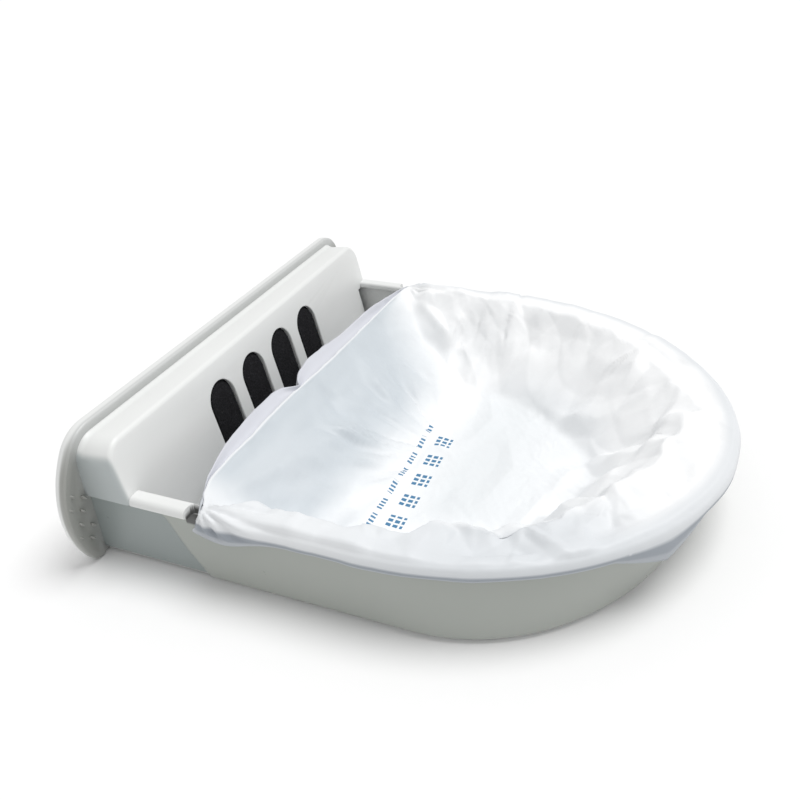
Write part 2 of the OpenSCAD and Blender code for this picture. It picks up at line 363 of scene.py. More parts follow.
def moulded_plastic(name, colour, gloss=0.32, low=None, **tints):
    """White injection-moulded plastic: a faint orange peel, uneven gloss and a little dust.

    low is (z1, z2, tint): below z1 mm the plastic takes the tint, which fades out at z2, as a painted change
    of light with height. Each further name is a layer of the mesh whose points take that tint as painted
    shade."""
    n = Nodes(name)
    place = n.coordinates()
    cloud = n.noise(place, 14.0, 4.0)
    peel = n.noise(place, 900.0, 2.0)
    specks = n.noise(place, 420.0, 5.0, 0.7)
    tone = n.blend(n.ramp(cloud, 0.35, 0.7), darker(colour, 0.985), colour)
    tone = n.blend(n.ramp(specks, 0.66, 0.78, 0.0, 0.2), tone, darker(colour, 0.85))
    if low:
        full, none, tint = low
        height = n.math("MULTIPLY", n.add("SeparateXYZ", Vector=place).outputs[2], 1 / MM)
        tone = n.blend(n.ramp(height, full, none, 1.0, 0.0), tone, tinted_colour(colour, tint))
    for layer, tint in tints.items():
        tone = n.blend(n.layer(layer), tone, tinted_colour(colour, tint))
    rough = n.ramp(n.noise(place, 38.0, 5.0, 0.62), 0.3, 0.75, gloss - 0.05, gloss + 0.1)
    waves = n.bump(n.noise(place, 26.0, 2.0), 0.0004, 0.25)
    return n.finish(
        Base_Color=tone, Roughness=rough, Normal=n.bump(peel, 0.00002, 0.6, waves),
        Specular_IOR_Level=0.45, Coat_Weight=0.12, Coat_Roughness=0.25,
    )


def foam_black(name, settings):
    """Open-cell foam loaded with carbon: pits painted darker as shade between slightly lighter struts, with
    painted glints.
    """
    n = Nodes(name)
    place = n.coordinates()
    cell = 1 / (settings.cell * MM)
    pits = n.cells(place, cell)
    fine = n.cells(place, cell * 2.6)
    relief = n.math("ADD", n.math("MULTIPLY", pits, 0.7), n.math("MULTIPLY", fine, 0.3))
    glints = n.noise(place, 1500.0, 2.0, 0.8)
    # the pits are painted darker as the shade inside the cells
    tone = n.blend(n.ramp(relief, 0.2, 0.75), darker(settings.black, 0.4), darker(settings.black, 3.2))
    # fine painted glints on the struts
    tone = n.blend(n.ramp(glints, 0.66, 0.72), tone, (0.11, 0.11, 0.115))
    return n.finish(
        Base_Color=tone, Roughness=0.93, Specular_IOR_Level=0.2,
        Normal=n.bump(relief, 0.0006, 0.9),
    )


def bare_steel(name):
    n = Nodes(name)
    place = n.coordinates()
    rough = n.ramp(n.noise(place, 900.0, 4.0), 0.3, 0.7, 0.22, 0.4)
    tone = n.blend(n.noise(place, 300.0), (0.42, 0.42, 0.43), (0.62, 0.62, 0.62))
    return n.finish(Base_Color=tone, Roughness=rough, Metallic=1.0)


def soft_rubber(name):
    n = Nodes(name)
    place = n.coordinates()
    tone = n.blend(n.noise(place, 60.0, 5.0), (0.03, 0.03, 0.03), (0.06, 0.06, 0.06))
    return n.finish(
        Base_Color=tone, Roughness=0.75, Normal=n.bump(n.noise(place, 1200.0), 0.00005, 0.5)
    )


def milky_film(name, settings):
    """Thin milky film: cloudy white, finely creased, with printed dashes and a tint for each layer: painted
    shade for all but backlit, which is painted light.
    """
    n = Nodes(name)
    place = n.coordinates()
    split = n.add("SeparateXYZ", Vector=place).outputs
    x, y = (n.math("MULTIPLY", split[axis], 1 / MM) for axis in range(2))
    y = n.math("SUBTRACT", y, ORIGIN.y / MM)
    cloud = n.noise(place, 30.0, 4.0)
    tone = n.blend(n.ramp(cloud, 0.35, 0.7), darker(settings.film, 0.95), settings.film)
    for layer, share, colour in (
        # every layer but backlit is painted shade; backlit is painted light
        ("span", 0.85, (0.53, 0.58, 0.62)),
        ("shaded", 0.9, (0.69, 0.715, 0.74)),
        ("backlit", 0.9, (0.94, 0.945, 0.95)),
        ("level", 0.9, (0.76, 0.785, 0.80)),
        ("turned", 0.9, (0.73, 0.75, 0.77)),
        ("doubled", 0.62, (0.50, 0.51, 0.58)),
        ("tucked_shadow", 0.9, (0.28, 0.31, 0.35)),
    ):
        tone = n.blend(n.math("MULTIPLY", n.layer(layer), share), tone, colour)
    tone = n.blend(printed_dashes(n, x, y), tone, settings.ink)
    rough = n.ramp(n.noise(place, 60.0, 4.0, 0.6), 0.3, 0.75, 0.42, 0.58)
    waves = n.bump(n.noise(place, 70.0, 2.0, 0.4), 0.0006, 0.3)
    return n.finish(
        Base_Color=tone, Roughness=rough, Specular_IOR_Level=0.42,
        Normal=n.bump(n.noise(place, 260.0, 1.0, 0.4), 0.00012, 0.3, waves),
    )


def printed_dashes(n, x, y):
    """Two rows of plain printed dashes near the foot of the rear wall."""
    def band(value, middle, half):
        return n.math("LESS_THAN", n.math("ABSOLUTE", n.math("SUBTRACT", value, middle)), half)

    def dashes(value, pitch, share, shift=0.0):
        turn = n.math("FRACT", n.math("DIVIDE", n.math("ADD", value, 500.0 + shift), pitch))
        return n.math("LESS_THAN", turn, share)

    def both(a, b):
        return n.math("MULTIPLY", a, b)

    bars = both(dashes(x, 20.0, 0.54), dashes(x, 3.9, 0.62))
    large = both(both(band(y, -139.0, 5.0), bars), dashes(y, 3.9, 0.7))
    ticks = both(dashes(x, 2.9, 0.5, 1.0), dashes(x, 15.5, 0.7, 3.0))
    small = both(band(y, -127.0, 1.4), ticks)
    return both(band(x, -34.0, 51.0), n.math("MAXIMUM", large, small))


def studio_floor(name):
    n = Nodes(name)
    place = n.coordinates()
    tone = n.blend(n.noise(place, 3.0), (0.90, 0.90, 0.90), (0.92, 0.92, 0.92))
    return n.finish(Base_Color=tone, Roughness=0.9, Specular_IOR_Level=0.1)


# ---------------------------------------------------------------- the pan's shape


REAR_STEP = 1.6  # how far the rear of the floor and walls is set back
STEP_Y = 67.8  # end plate to the step in the floor
# The set-back stretch's slanted edge, as (height, distance from the end plate)
SETBACK_EDGE = ((38.5, 44.0), (33.9, 46.9), (17.9, 55.3), (1.5, 67.0), (-2.0, 69.5))
FLOOR_ROUND = 5.0
RIM_ROUND = 3.0
RIM_INNER_ROUND = 2.0
SEAT_GAP = 0.3
CORNER = 12.0  # radius of the housing's top corners
FACE_ROUND = 2.4
TRAY_GAP = 0.5
WINDOW = (
    (TRAY_LOW.x / MM - TRAY_GAP, TRAY_LOW.z / MM - TRAY_GAP),
    (TRAY_HIGH.x / MM + TRAY_GAP, TRAY_HIGH.z / MM + TRAY_GAP),
)


def wall_line(z):
    """Half width, nose tip and nose depth of the tub's outer wall at height z."""
    t = z / RIM_H
    return (mix(RIM_X - 1.7, RIM_X - 1, t), mix(PAN_LEN - 18, PAN_LEN - 4, t), mix(111.0, 148.5, t))


def rim_line():
    return RIM_X, PAN_LEN, 152.5


def face_y(pan, z):
    """Distance of the slotted face from the end plate at height z."""
    return pan.housing_d + (HOUSING_H - z) * math.tan(pan.face_lean)


def side_places(pan):
    """Distances from the end plate at which the side walls have points, closest round the notches."""
    places, y = [], 0.0
    while y < 100:
        places.append(y)
        near_notch = pan.notch_y - 3 < y < pan.notch_y + pan.notch_w + 3
        y += 0.3 if near_notch else 0.8 if 20 < y < 72 else 4.0
    return places


def tub_ring(line, inset, z, rear, places, nose_steps=120):
    """Points (x, y, z) round one level of the tub, moved in by inset, from rear corner to rear corner."""
    half, tip, nose = (v - inset for v in line)
    straight = tip - nose
    ys = [max(y, rear) for y in places] + [mix(100, straight, i / 8) for i in range(1, 8)]
    side = [(half, -y, z) for y in ys]
    tip_side = []
    for i in range(nose_steps + 1):
        a = math.pi * i / nose_steps
        tip_side.append((half * math.cos(a), -straight - nose * math.sin(a), z))
    return side + tip_side + [(-x, y, z) for x, y, z in reversed(side)]


def notch_share(pan, x, y, depth_in):
    """How far a rim point is inside a notch: 1 inside, 0 outside, smooth across its edge."""
    corner = 2.2
    low_x = RIM_X - depth_in
    centre = -(pan.notch_y + pan.notch_w / 2)
    dx = low_x + corner - abs(x)
    dy = abs(y - centre) - (pan.notch_w / 2 - corner)
    away = math.hypot(max(dx, 0), max(dy, 0)) + min(max(dx, dy), 0) - corner
    return smooth_step(0.5 - away / 0.9)


def shape_rim(pan, points):
    """Cuts the notches and the seat of the housing into a ring of the tub's rim."""
    seat_z = RIM_H - pan.rim_drop
    floor = seat_z - 0.2
    out = []
    for x, y, z in points:
        share = notch_share(pan, x, y, pan.flange - 2)
        seat = smooth_step((y + face_y(pan, RIM_H) + 0.6) / 0.8)
        if share > 0 and z > floor:
            side = math.copysign(min(abs(x), RIM_X - 1.7), x)
            x, z = mix(x, side, share), mix(z, floor, share)
        if seat > 0 and z > floor - 1.5:
            side = math.copysign(min(max(abs(x), RIM_X - 4.6), RIM_X - 1.7), x)
            x, z = mix(x, side, seat), mix(z, min(z, floor), seat)
        out.append((x, y, z))
    return out


def shape_wall(points):
    """Sets the rear stretch of the outer wall back, along its slanted edge."""
    out = []
    for x, y, z in points:
        for (z0, y0), (z1, y1) in zip(SETBACK_EDGE, SETBACK_EDGE[1:]):
            if z0 >= z >= z1:
                limit = mix(y0, y1, (z0 - z) / (z0 - z1))
                back = REAR_STEP * smooth_step((y + limit) / 2.2 + 0.5)
                x -= math.copysign(back, x)
                break
        out.append((x, y, z))
    return out


def flat_points(mesh):
    """The mesh's coordinates one after another, as Blender stores them."""
    flat = np.empty(len(mesh.vertices) * 3)
    mesh.vertices.foreach_get("co", flat)
    return flat


def local_points(mesh):
    """The mesh's points in millimetres in the end plate's frame."""
    return (flat_points(mesh).reshape(-1, 3) - np.array(ORIGIN)) / MM


def store_layer(mesh, name, values):
    """Stores one number for each point of the mesh, for a material to read."""
    mesh.attributes.new(name, "FLOAT", "POINT").data.foreach_set("value", np.ravel(values))


def mark_outer(mesh, pan):
    """Stores which points lie on the tub's outer walls, on their set-back rear stretch, and in a notch: masks
    of painted shade that make the outer walls greyer, the rear stretch darker and the notch gap near black.
    """
    x, y, z = local_points(mesh).T
    half, tip, nose = (value - 2.0 for value in wall_line(z))
    straight = tip - nose
    round_part = np.hypot(x / half, np.minimum(y + straight, 0) / nose) > 1
    outer = (np.where(y > -straight, np.abs(x) > half, round_part) & (z < 38.35)).astype(float)
    edge = np.interp(z, [h for h, _ in reversed(SETBACK_EDGE)], [d for _, d in reversed(SETBACK_EDGE)])
    rear = outer * ease((y + edge) / 1.6 + 0.5)
    in_notch = np.abs(y + pan.notch_y + pan.notch_w / 2) < pan.notch_w / 2 - 0.1
    gap = in_notch & (np.abs(x) > RIM_X - 8) & (z > 36) & (z < RIM_H - 0.8)
    # each stored layer is a mask of painted shade for the tub's material
    for name, values in (("outer", outer), ("rear", rear), ("gap", gap.astype(float))):
        store_layer(mesh, name, values)


def tub_mesh(pan):
    places = side_places(pan)
    seat_z = RIM_H - pan.rim_drop
    wall, flange = pan.wall, pan.flange
    rings = []

    def wall_ring(z, inset=0.0, rear=0.0):
        ring = tub_ring(wall_line(z), inset, z, rear, places)
        return shape_wall(ring) if rear == 0 and z < seat_z - 1 else ring

    def rim_ring(z, inset, rear=0.0):
        return shape_rim(pan, tub_ring(rim_line(), inset, z, rear, places))

    quarter = [math.radians(a) for a in range(0, 91, 10)]
    for a in quarter:
        rings.append(wall_ring(FLOOR_ROUND * (1 - math.cos(a)), FLOOR_ROUND * (1 - math.sin(a))))
    rings += [wall_ring(z) for z in np.arange(7, seat_z - 2, 2.2)]
    rings += [wall_ring(seat_z - z) for z in (1.6, 1.1, 0.5)]
    rings.append(rim_ring(seat_z - 0.1, 0.9))
    rings.append(rim_ring(seat_z, 0.5))
    for a in quarter[::3]:
        rings.append(rim_ring(seat_z + 0.1 + 0.5 * (1 - math.cos(a)), 0.5 * (1 - math.sin(a))))
    for a in quarter:
        rings.append(rim_ring(RIM_H - RIM_ROUND * (1 - math.sin(a)), RIM_ROUND * (1 - math.cos(a))))
    inner = RIM_INNER_ROUND
    for inset in np.arange(RIM_ROUND + 0.4, flange - inner, 0.4):
        rings.append(rim_ring(RIM_H, inset))
    for a in quarter[::2]:
        rings.append(rim_ring(RIM_H - inner * (1 - math.cos(a)), flange - inner * (1 - math.sin(a))))
    rings.append(rim_ring(seat_z + 1.2, flange, wall))
    rings.append(rim_ring(seat_z + 0.4, flange - 0.6, wall))
    rings += [wall_ring(seat_z - z, wall + 1, wall) for z in (0.4, 1.5, 6.0)]
    for a in reversed(quarter):
        rings.append(wall_ring(wall + FLOOR_ROUND * (1 - math.cos(a)),
                               wall + 1 + FLOOR_ROUND * (1 - math.sin(a)), wall))
    return skin("tub", rings)


# ---------------------------------------------------------------- end plate

SIDE_C = (105.0, 33.3)  # centre of the arc at each side
SIDE_R, TOP_R, LOW_R = 56.0, 22.0, 8.0  # radii of the side, the upper corner and the lower corner
WEB = 4.0  # thickness of the plate inside its rolled edge
CUT_SHORT = 0.02  # how far the cut for the tub's end stays off the web's face
MARK = {"Width": 1.5 * MM, "Length": 4.2 * MM, "Depth": 2.2 * MM, "Lean": math.radians(40)}


def arc(centre, radius, start, stop, steps):
    angles = [math.radians(mix(start, stop, i / steps)) for i in range(steps + 1)]
    return [(centre[0] + radius * math.cos(a), centre[1] + radius * math.sin(a)) for a in angles]


def corner_arc(radius, z):
    """Centre of the corner arc at height z, and the angle at which it meets the side's arc, in degrees."""
    across, rise = math.sqrt((SIDE_R - radius) ** 2 - (z - SIDE_C[1]) ** 2), z - SIDE_C[1]
    return (SIDE_C[0] + across, z), math.degrees(math.atan2(rise, across))


def plate_ring(inset, y):
    """The end plate's outline moved inwards by inset: its arcs keep their centres."""
    top, top_a = corner_arc(TOP_R, PLATE_H - TOP_R)
    low, low_a = corner_arc(LOW_R, LOW_R)
    half = (arc(low, LOW_R - inset, -90, low_a, 14) + arc(SIDE_C, SIDE_R - inset, low_a + 2, top_a - 2, 36)
            + arc(top, TOP_R - inset, top_a, 90, 26))
    return [(x, y, z) for x, z in half] + [(-x, y, z) for x, z in reversed(half)]


def plate_mesh():
    """The plate: a flat web whose edge turns forward to a thin lip and is rolled at the back."""
    rings = [plate_ring(10.5, 0.0)]
    for i in range(1, 11):
        rings.append(plate_ring(mix(10.0, 2.2, i / 10), -1.5 * smooth_step(i / 10)))
    for i in range(9):
        a = math.pi / 2 * i / 8
        rings.append(plate_ring(1.3 * (1 - math.sin(a)), -0.25 - 1.3 * math.cos(a)))
    rings.append(plate_ring(0.0, 1.2))
    for i in range(11):
        a = math.pi * i / 10
        rings.append(plate_ring(2.6 * (1 - math.cos(a)), 2.4 + (PLATE_BACK - 2.4) * math.sin(a / 2) ** 0.8))
    for i in range(1, 6):
        rings.append(plate_ring(5.2 + 1.6 * smooth_step(i / 5), mix(PLATE_BACK, WEB, smooth_step(i / 5))))
    rings.append(plate_ring(7.6, WEB))
    return skin("end_plate_shell", rings)


def disc_tool(x, z, radius, low, high, steps=32):
    """A cylinder along Y, as a cutting tool."""
    ring = arc((x, z), radius, 0, 360, steps)[:-1]
    return skin("hole", [[(px, y, pz) for px, pz in ring] for y in (low, high)])


def mark_places():
    """The centres of the slanted pairs of raised marks near the plate's lower outer ends."""
    places = []
    for group, row, column in product((0, 1), repeat=3):
        x = 154.5 - 1.2 * group + 2.7 * row - 7.2 * column
        z = 45 - 18.4 * group - 6.6 * row - 5.5 * column
        places += [(-x, -0.9, z), (x, -0.9, z)]
    return places


def marks_tree(material):
    """Node tree that puts one smooth raised mark on every point, leaning outwards at both ends."""
    tree = bpy.data.node_groups.new("plate marks", "GeometryNodeTree")
    face = tree.interface
    face.new_socket("Geometry", in_out="INPUT", socket_type="NodeSocketGeometry")
    for name in ("Width", "Length", "Depth", "Lean"):
        face.new_socket(name, in_out="INPUT", socket_type="NodeSocketFloat")
    face.new_socket("Geometry", in_out="OUTPUT", socket_type="NodeSocketGeometry")

    def node(kind, **inputs):
        made = tree.nodes.new(kind)
        for key, value in inputs.items():
            socket = made.inputs[int(key[1:]) if key[0] == "i" and key[1:].isdigit() else key]
            if isinstance(value, bpy.types.NodeSocket):
                tree.links.new(value, socket)
            else:
                socket.default_value = value
        return made

    given = node("NodeGroupInput").outputs
    pip = node("GeometryNodeMeshUVSphere", Segments=20, Rings=12, Radius=0.5)
    size = node("ShaderNodeCombineXYZ", X=given["Width"], Y=given["Depth"], Z=given["Length"])
    side = node("ShaderNodeSeparateXYZ", Vector=node("GeometryNodeInputPosition").outputs[0])
    sign = node("ShaderNodeMath", i0=side.outputs["X"])
    sign.operation = "SIGN"
    lean = node("ShaderNodeMath", i0=sign.outputs[0], i1=given["Lean"])
    lean.operation = "MULTIPLY"
    turn = node("ShaderNodeCombineXYZ", Y=lean.outputs[0])
    put = node("GeometryNodeInstanceOnPoints", Points=given["Geometry"], Instance=pip.outputs["Mesh"],
               Rotation=turn.outputs[0], Scale=size.outputs[0])
    smooth = node("GeometryNodeSetShadeSmooth", Geometry=put.outputs[0])
    whole = node("GeometryNodeRealizeInstances", Geometry=smooth.outputs[0])
    dressed = node("GeometryNodeSetMaterial", Geometry=whole.outputs[0], Material=material)
    end = node("NodeGroupOutput")
    tree.links.new(dressed.outputs[0], end.inputs[0])
    return tree


def grown(name, points, tree, **sizes):
    """A plain object grown from points by a node tree with the named sizes."""
    obj = new_object(name, mesh_of(name, points, []), None)
    modifier = obj.modifiers.new("grow", "NODES")
    modifier.node_group = tree
    for item in tree.interface.items_tree:
        if item.in_out == "INPUT" and item.name in sizes:
            modifier[item.identifier] = sizes[item.name]
    apply_modifiers(obj)
    return obj


# ---------------------------------------------------------------- filter housing


def housing_outline(inset, top, low_x):
    """Half of the housing's outline (x, z): the panel below the rim, the step out, the round corner."""
    x, r, step = RIM_X - inset, max(CORNER - inset, 1.0), RIM_H - 4.8 + SEAT_GAP
    half = [(low_x - inset, 3.3), (low_x - inset, step), (x, step), (x, step + 2)]
    half += arc((x - r, top - inset - r), r, 0, 90, 24)
    return half


def housing_mesh(pan):
    low_x = RIM_X - pan.flange - 2
    rings = []
    for a in range(90, -1, -10):
        inset = FACE_ROUND * (1 - math.cos(math.radians(a)))
        depth = FACE_ROUND * (1 - math.sin(math.radians(a)))
        half = housing_outline(inset, HOUSING_H, low_x)
        rings.append(mirrored(half, lambda z: depth - face_y(pan, z)))
    back_z = HOUSING_H - 2
    flare = 2.4
    for i in range(9):
        y = mix(5, 0, i / 8)
        grow = flare * (1 - math.cos(math.radians(90 * i / 8)))
        half = housing_outline(0, back_z + 2 * y / pan.housing_d + grow, low_x)
        rings.append(mirrored(half, lambda z: -y))
    return skin("housing", rings)


def mirrored(half, depth_at):
    """A whole ring of the housing from half an outline (x, z), at the depth given for each height."""
    points = half + [(-x, z) for x, z in reversed(half)]
    return [(x, depth_at(z), z) for x, z in points]


def cavity_tool(pan):
    """The hollow behind the slotted face."""
    skin_t, half = 3.0, RIM_X - 7
    back_z = HOUSING_H - 2 - skin_t
    low_y, high_y = (skin_t - face_y(pan, z) for z in (0, back_z))
    profile = [(1, -1), (low_y, -1), (high_y, back_z), (1, back_z)]
    return skin("cavity", [[(x, y, z) for y, z in profile] for x in (-half, half)])


def slot_tool(pan, centre, edge=0.6):
    """One vent slot with a rounded edge at the face, as a cutting tool."""
    r = pan.slot_w / 2

    def ring(grow, depth):
        top, low = (centre, pan.slot_top - r), (centre, pan.slot_low + r)
        loop = arc(top, r + grow, 0, 180, 28) + arc(low, r + grow, 180, 360, 28)
        return [(x, -(face_y(pan, z) - depth), z) for x, z in loop]

    rings = [ring(edge, -3)]
    for a in range(0, 91, 15):
        rings.append(ring(edge * (1 - math.sin(math.radians(a))), edge * (1 - math.cos(math.radians(a)))))
    rings.append(ring(0, 12))
    return skin("slot", rings)


def foam_bulge(pan, x, z):
    """How far the foam pushes forward into the vent slots: 1 in a slot, 0 between slots."""
    r = pan.slot_w / 2
    nearest = (round(x / pan.slot_pitch + 1.5) - 1.5) * pan.slot_pitch
    nearest = min(max(nearest, -1.5 * pan.slot_pitch), 1.5 * pan.slot_pitch)
    zz = min(max(z, pan.slot_low + r), pan.slot_top - r)
    away = math.hypot(x - nearest, z - zz)
    return smooth_step((r - 0.5 - away) / 1.6)


def foam_mesh(pan, filt):
    """The foam slab, its cut face pitted cell by cell and pushed a little into the slots."""
    low, high = FOAM_LOW / MM, FOAM_HIGH / MM
    step = 0.5
    columns, rows = int((high.x - low.x) / step), int((high.z - low.z) / step)
    front, back = [], []
    gap, thick = 3.5, 8.0
    for j in range(rows + 1):
        z = mix(low.z, high.z, j / rows)
        for i in range(columns + 1):
            x = mix(low.x, high.x, i / columns)
            pit = noise.voronoi(Vector((x, z, 0)) / filt.cell, distance_metric="DISTANCE")[0][0]
            bulge = noise.noise(Vector((x, z, 5)) / 9.0)
            rim = min(i, columns - i, j, rows - j)
            relief = 0 if rim == 0 else filt.rough * (1 - pit) + 0.15 * bulge + 2.7 * foam_bulge(pan, x, z)
            front.append((x, -(face_y(pan, z) - gap - 0.1) - relief, z))
            if rim == 0:
                back.append((i, j, (x, -(face_y(pan, z) - gap - thick), z)))
    faces = []
    width = columns + 1
    for j in range(rows):
        for i in range(columns):
            a = j * width + i
            faces.append((a, a + 1, a + width + 1, a + width))
    places = {(i, j): len(front) + k for k, (i, j, _) in enumerate(back)}
    points = front + [p for _, _, p in back]
    loop = ([(i, 0) for i in range(columns)] + [(columns, j) for j in range(rows)]
            + [(i, rows) for i in range(columns, 0, -1)] + [(0, j) for j in range(rows, 0, -1)])
    for a, b in zip(loop, loop[1:] + loop[:1]):
        faces.append((a[1] * width + a[0], places[a], places[b], b[1] * width + b[0]))
    faces.append(tuple(places[p] for p in loop))
    mesh = mesh_of("foam", points, faces)
    tidy(mesh)
    return mesh


# ---------------------------------------------------------------- liner bag

# The film is a grid of square rings round the floor's middle: floor, then walls, then rim and skirt.
FLOOR_RINGS, WALL_RINGS, RIM_RINGS = 28, 16, 10
RINGS = FLOOR_RINGS + WALL_RINGS + RIM_RINGS
TAUT_RING = 45.5  # the ring of the taut rear edge
SKIRT_RING = 50  # from here the film hangs free outside the rim
FLOOR_MIDDLE = -190.0
NOSE_MIDDLE = -150.0  # the centre that the nose's folds and waves run round
NOSE_RADIUS = 148.0
SIM_SCALE = 10.0  # the cloth solver is steadier on a model ten times as large
SETTLE_FRAMES = 26
TUB_CLEARANCE = 0.35
FILM_THICKNESS = 0.12

# Stations of the film from the floor's edge to the hem: half width, nose tip, nose depth and height
# along the sides and nose, then distance from the plate and height of the rear wall, then the
# corner that passes through a notch (x, y, z).
STATIONS = np.array([
    # x      tip    nose   z     rear   z     corner
    [95.0, 249.0, 84.0, 3.8, 131.0, 3.8, 95.0, -129.0, 3.9],
    [104.0, 259.5, 94.0, 8.5, 122.0, 7.5, 104.0, -116.0, 9.0],
    [113.5, 270.0, 105.0, 18.0, 104.0, 16.5, 115.0, -97.0, 19.0],
    [122.5, 280.0, 119.5, 29.0, 80.0, 31.5, 126.0, -77.0, 33.0],
    [130.5, 288.5, 134.0, 38.4, 64.0, 43.0, 134.8, -67.2, 42.8],
    [138.5, 296.5, 145.7, 44.1, 62.0, 44.4, 138.6, -66.4, 43.8],
    [143.0, 301.0, 150.5, 44.1, 59.6, 44.6, 142.2, -66.2, 43.2],
    [145.4, 303.4, 152.9, 42.4, 56.0, 44.6, 145.2, -66.0, 41.2],
    [145.8, 303.8, 153.3, 38.6, 53.0, 45.0, 145.8, -65.8, 38.8],
    [145.2, 303.2, 152.7, 36.2, 50.5, 40.0, 145.6, -65.4, 37.0],
])
RING_AT_STATION = np.array([28, 31, 35, 39, 43, TAUT_RING, 47.5, 49.5, 51, RINGS])
# The rear edge and the hem folded back behind it, as (x, y) on the plan
TAUT_EDGE = np.array([
    (-138, -65.4), (-130, -61), (-118, -57.4), (-97, -56.6), (-77, -57.4), (-56, -56.8), (-32, -57.2),
    (-10, -59), (14, -60.6), (67, -61.8), (110, -62.8), (130, -64), (138, -65.4),
])
HEM_EDGE = np.array([
    (-138, -65), (-128, -60), (-117, -55), (-104, -51.5), (-90, -49), (-70, -47.6), (-55, -45.8),
    (-33, -45.2), (-26, -48), (-20, -56.5), (-14, -52.5), (-6, -49.4), (8, -47.8), (30, -48.6),
    (56, -51.5), (82, -54.2), (106, -57.4), (128, -60.4), (138, -65),
])
# The plan of the slack film's opening: outside it the film spans flat to the rim
OPENING = np.array([
    (-131, -50), (-130, -87), (-131, -115), (-132, -140), (-127, -158), (-115, -174), (-111, -194),
    (-98, -224), (-87, -232), (-72, -240), (-54, -256), (-34, -263), (-2, -272), (20, -281), (57, -259),
    (89, -233), (109, -202), (125, -165), (131, -140), (131, -50),
])
# Folds of the film, as lines on the plan (x, y in mm), with half width and height in mm.
FOLDS = (
    ((-122, -66), (-70, -79), (-16, -90), 11, 3.4),
    ((-8, -64), (-12, -74), (-22, -86), 7, -2.6),
    ((40, -63), (32, -80), (4, -112), 9, 2.2),
    ((86, -64), (70, -84), (62, -110), 8, -2.0),
    ((128, -150), (114, -196), (97, -232), 12, 4.0),
    ((97, -232), (99, -247), (84, -262), 9, 3.0),
    ((134, -120), (121, -138), (92, -132), 9, 2.6),
    ((106, -214), (97, -243), (71, -263), 8, -3.0),
    ((71, -263), (37, -270), (6, -262), 8, 3.2),
    ((-12, -254), (12, -270), (20, -289), 8, 4.2),
    ((-4, -270), (-30, -276), (-52, -284), 7, -3.0),
    ((-96, -240), (-84, -246), (-62, -250), 7, 3.4),
    ((-74, -198), (-50, -204), (-28, -208), 9, 2.2),
    ((-20, -212), (0, -218), (12, -236), 8, 1.8),
    ((30, -172), (-6, -186), (-44, -178), 12, 1.8),
    ((-112, -128), (-86, -152), (-88, -182), 9, 2.4),
    ((66, -150), (40, -160), (8, -152), 10, 1.6),
    ((52, -196), (40, -226), (46, -250), 10, 2.2),
)


def along(points, steps):
    """Evenly spaced places along a polyline."""
    gaps = np.linalg.norm(np.diff(points, axis=0), axis=1)
    run = np.concatenate([[0], np.cumsum(gaps)])
    want = np.asarray(steps) * run[-1]
    return np.stack([np.interp(want, run, points[:, a]) for a in range(points.shape[1])], axis=1), run[-1]


def station(level):
    """The film's section values at ring number level, smoothed between the stations."""
    return np.array([np.interp(level, RING_AT_STATION, STATIONS[:, a]) for a in range(STATIONS.shape[1])])


def ease(t):
    t = np.clip(t, 0, 1)
    return t * t * (3 - 2 * t)


def open_curve(half, tip, nose, rear, z):
    """The side, nose and other side of one ring, from the -X rear corner round to the +X one."""
    straight = tip - nose
    a = np.linspace(math.pi, 0, 241)
    arc_part = np.stack([half * np.cos(a), -straight - nose * np.sin(a)], axis=1)
    points = np.concatenate([[[-half, -rear]], arc_part, [[half, -rear]]])
    return np.concatenate([points, np.full((len(points), 1), z)], axis=1)


def skirt(side, turn, z, share):
    """Hangs the skirt in slack waves, with a loop behind the near notch and a corner near the nose.

    turn is the distance of each point along the rim, and share grows from 0 to 1 down the skirt."""
    loop = np.exp(-((turn - 30) / 19) ** 2)
    corner = np.clip(1 - np.abs(turn - 246) / 30, 0, 1)
    wave = 0.5 + 0.5 * np.sin(turn / 9.0 + 1.3 * np.sin(turn / 23.0))
    outward = side - np.array([0, NOSE_MIDDLE, z])
    outward /= np.linalg.norm(outward, axis=1, keepdims=True)
    side = side + outward * ((2.6 * loop + 1.2 * corner + 0.5 * wave) * share)[:, None]
    side[:, 2] += (0.9 * wave - 4.6 * loop - 10.5 * corner) * share
    return side


def rear_side(x, whole, rear, rear_z):
    """Distance and height of one ring along the rear: the wall up to the taut edge, then the hem."""
    taut_y = np.interp(x, *TAUT_EDGE.T)
    if whole <= TAUT_RING:
        bow = ease((whole - 38.0) / (TAUT_RING - 38.0)) * (taut_y + 62.0)
        return bow - rear, np.full(len(x), rear_z)
    back = (62.0 - rear) / 9.0  # 1 on the hem's edge
    y = mix(taut_y, np.interp(x, *HEM_EDGE.T), min(back, 1.0)) + max(back - 1, 0) * 6
    dip = 3.4 * math.sin(math.pi * min(back, 1.0) ** 0.7)
    return y, rear_z - dip + 1.0 * np.sin(x / 13.0 + 1.0) * min(back, 1.0)


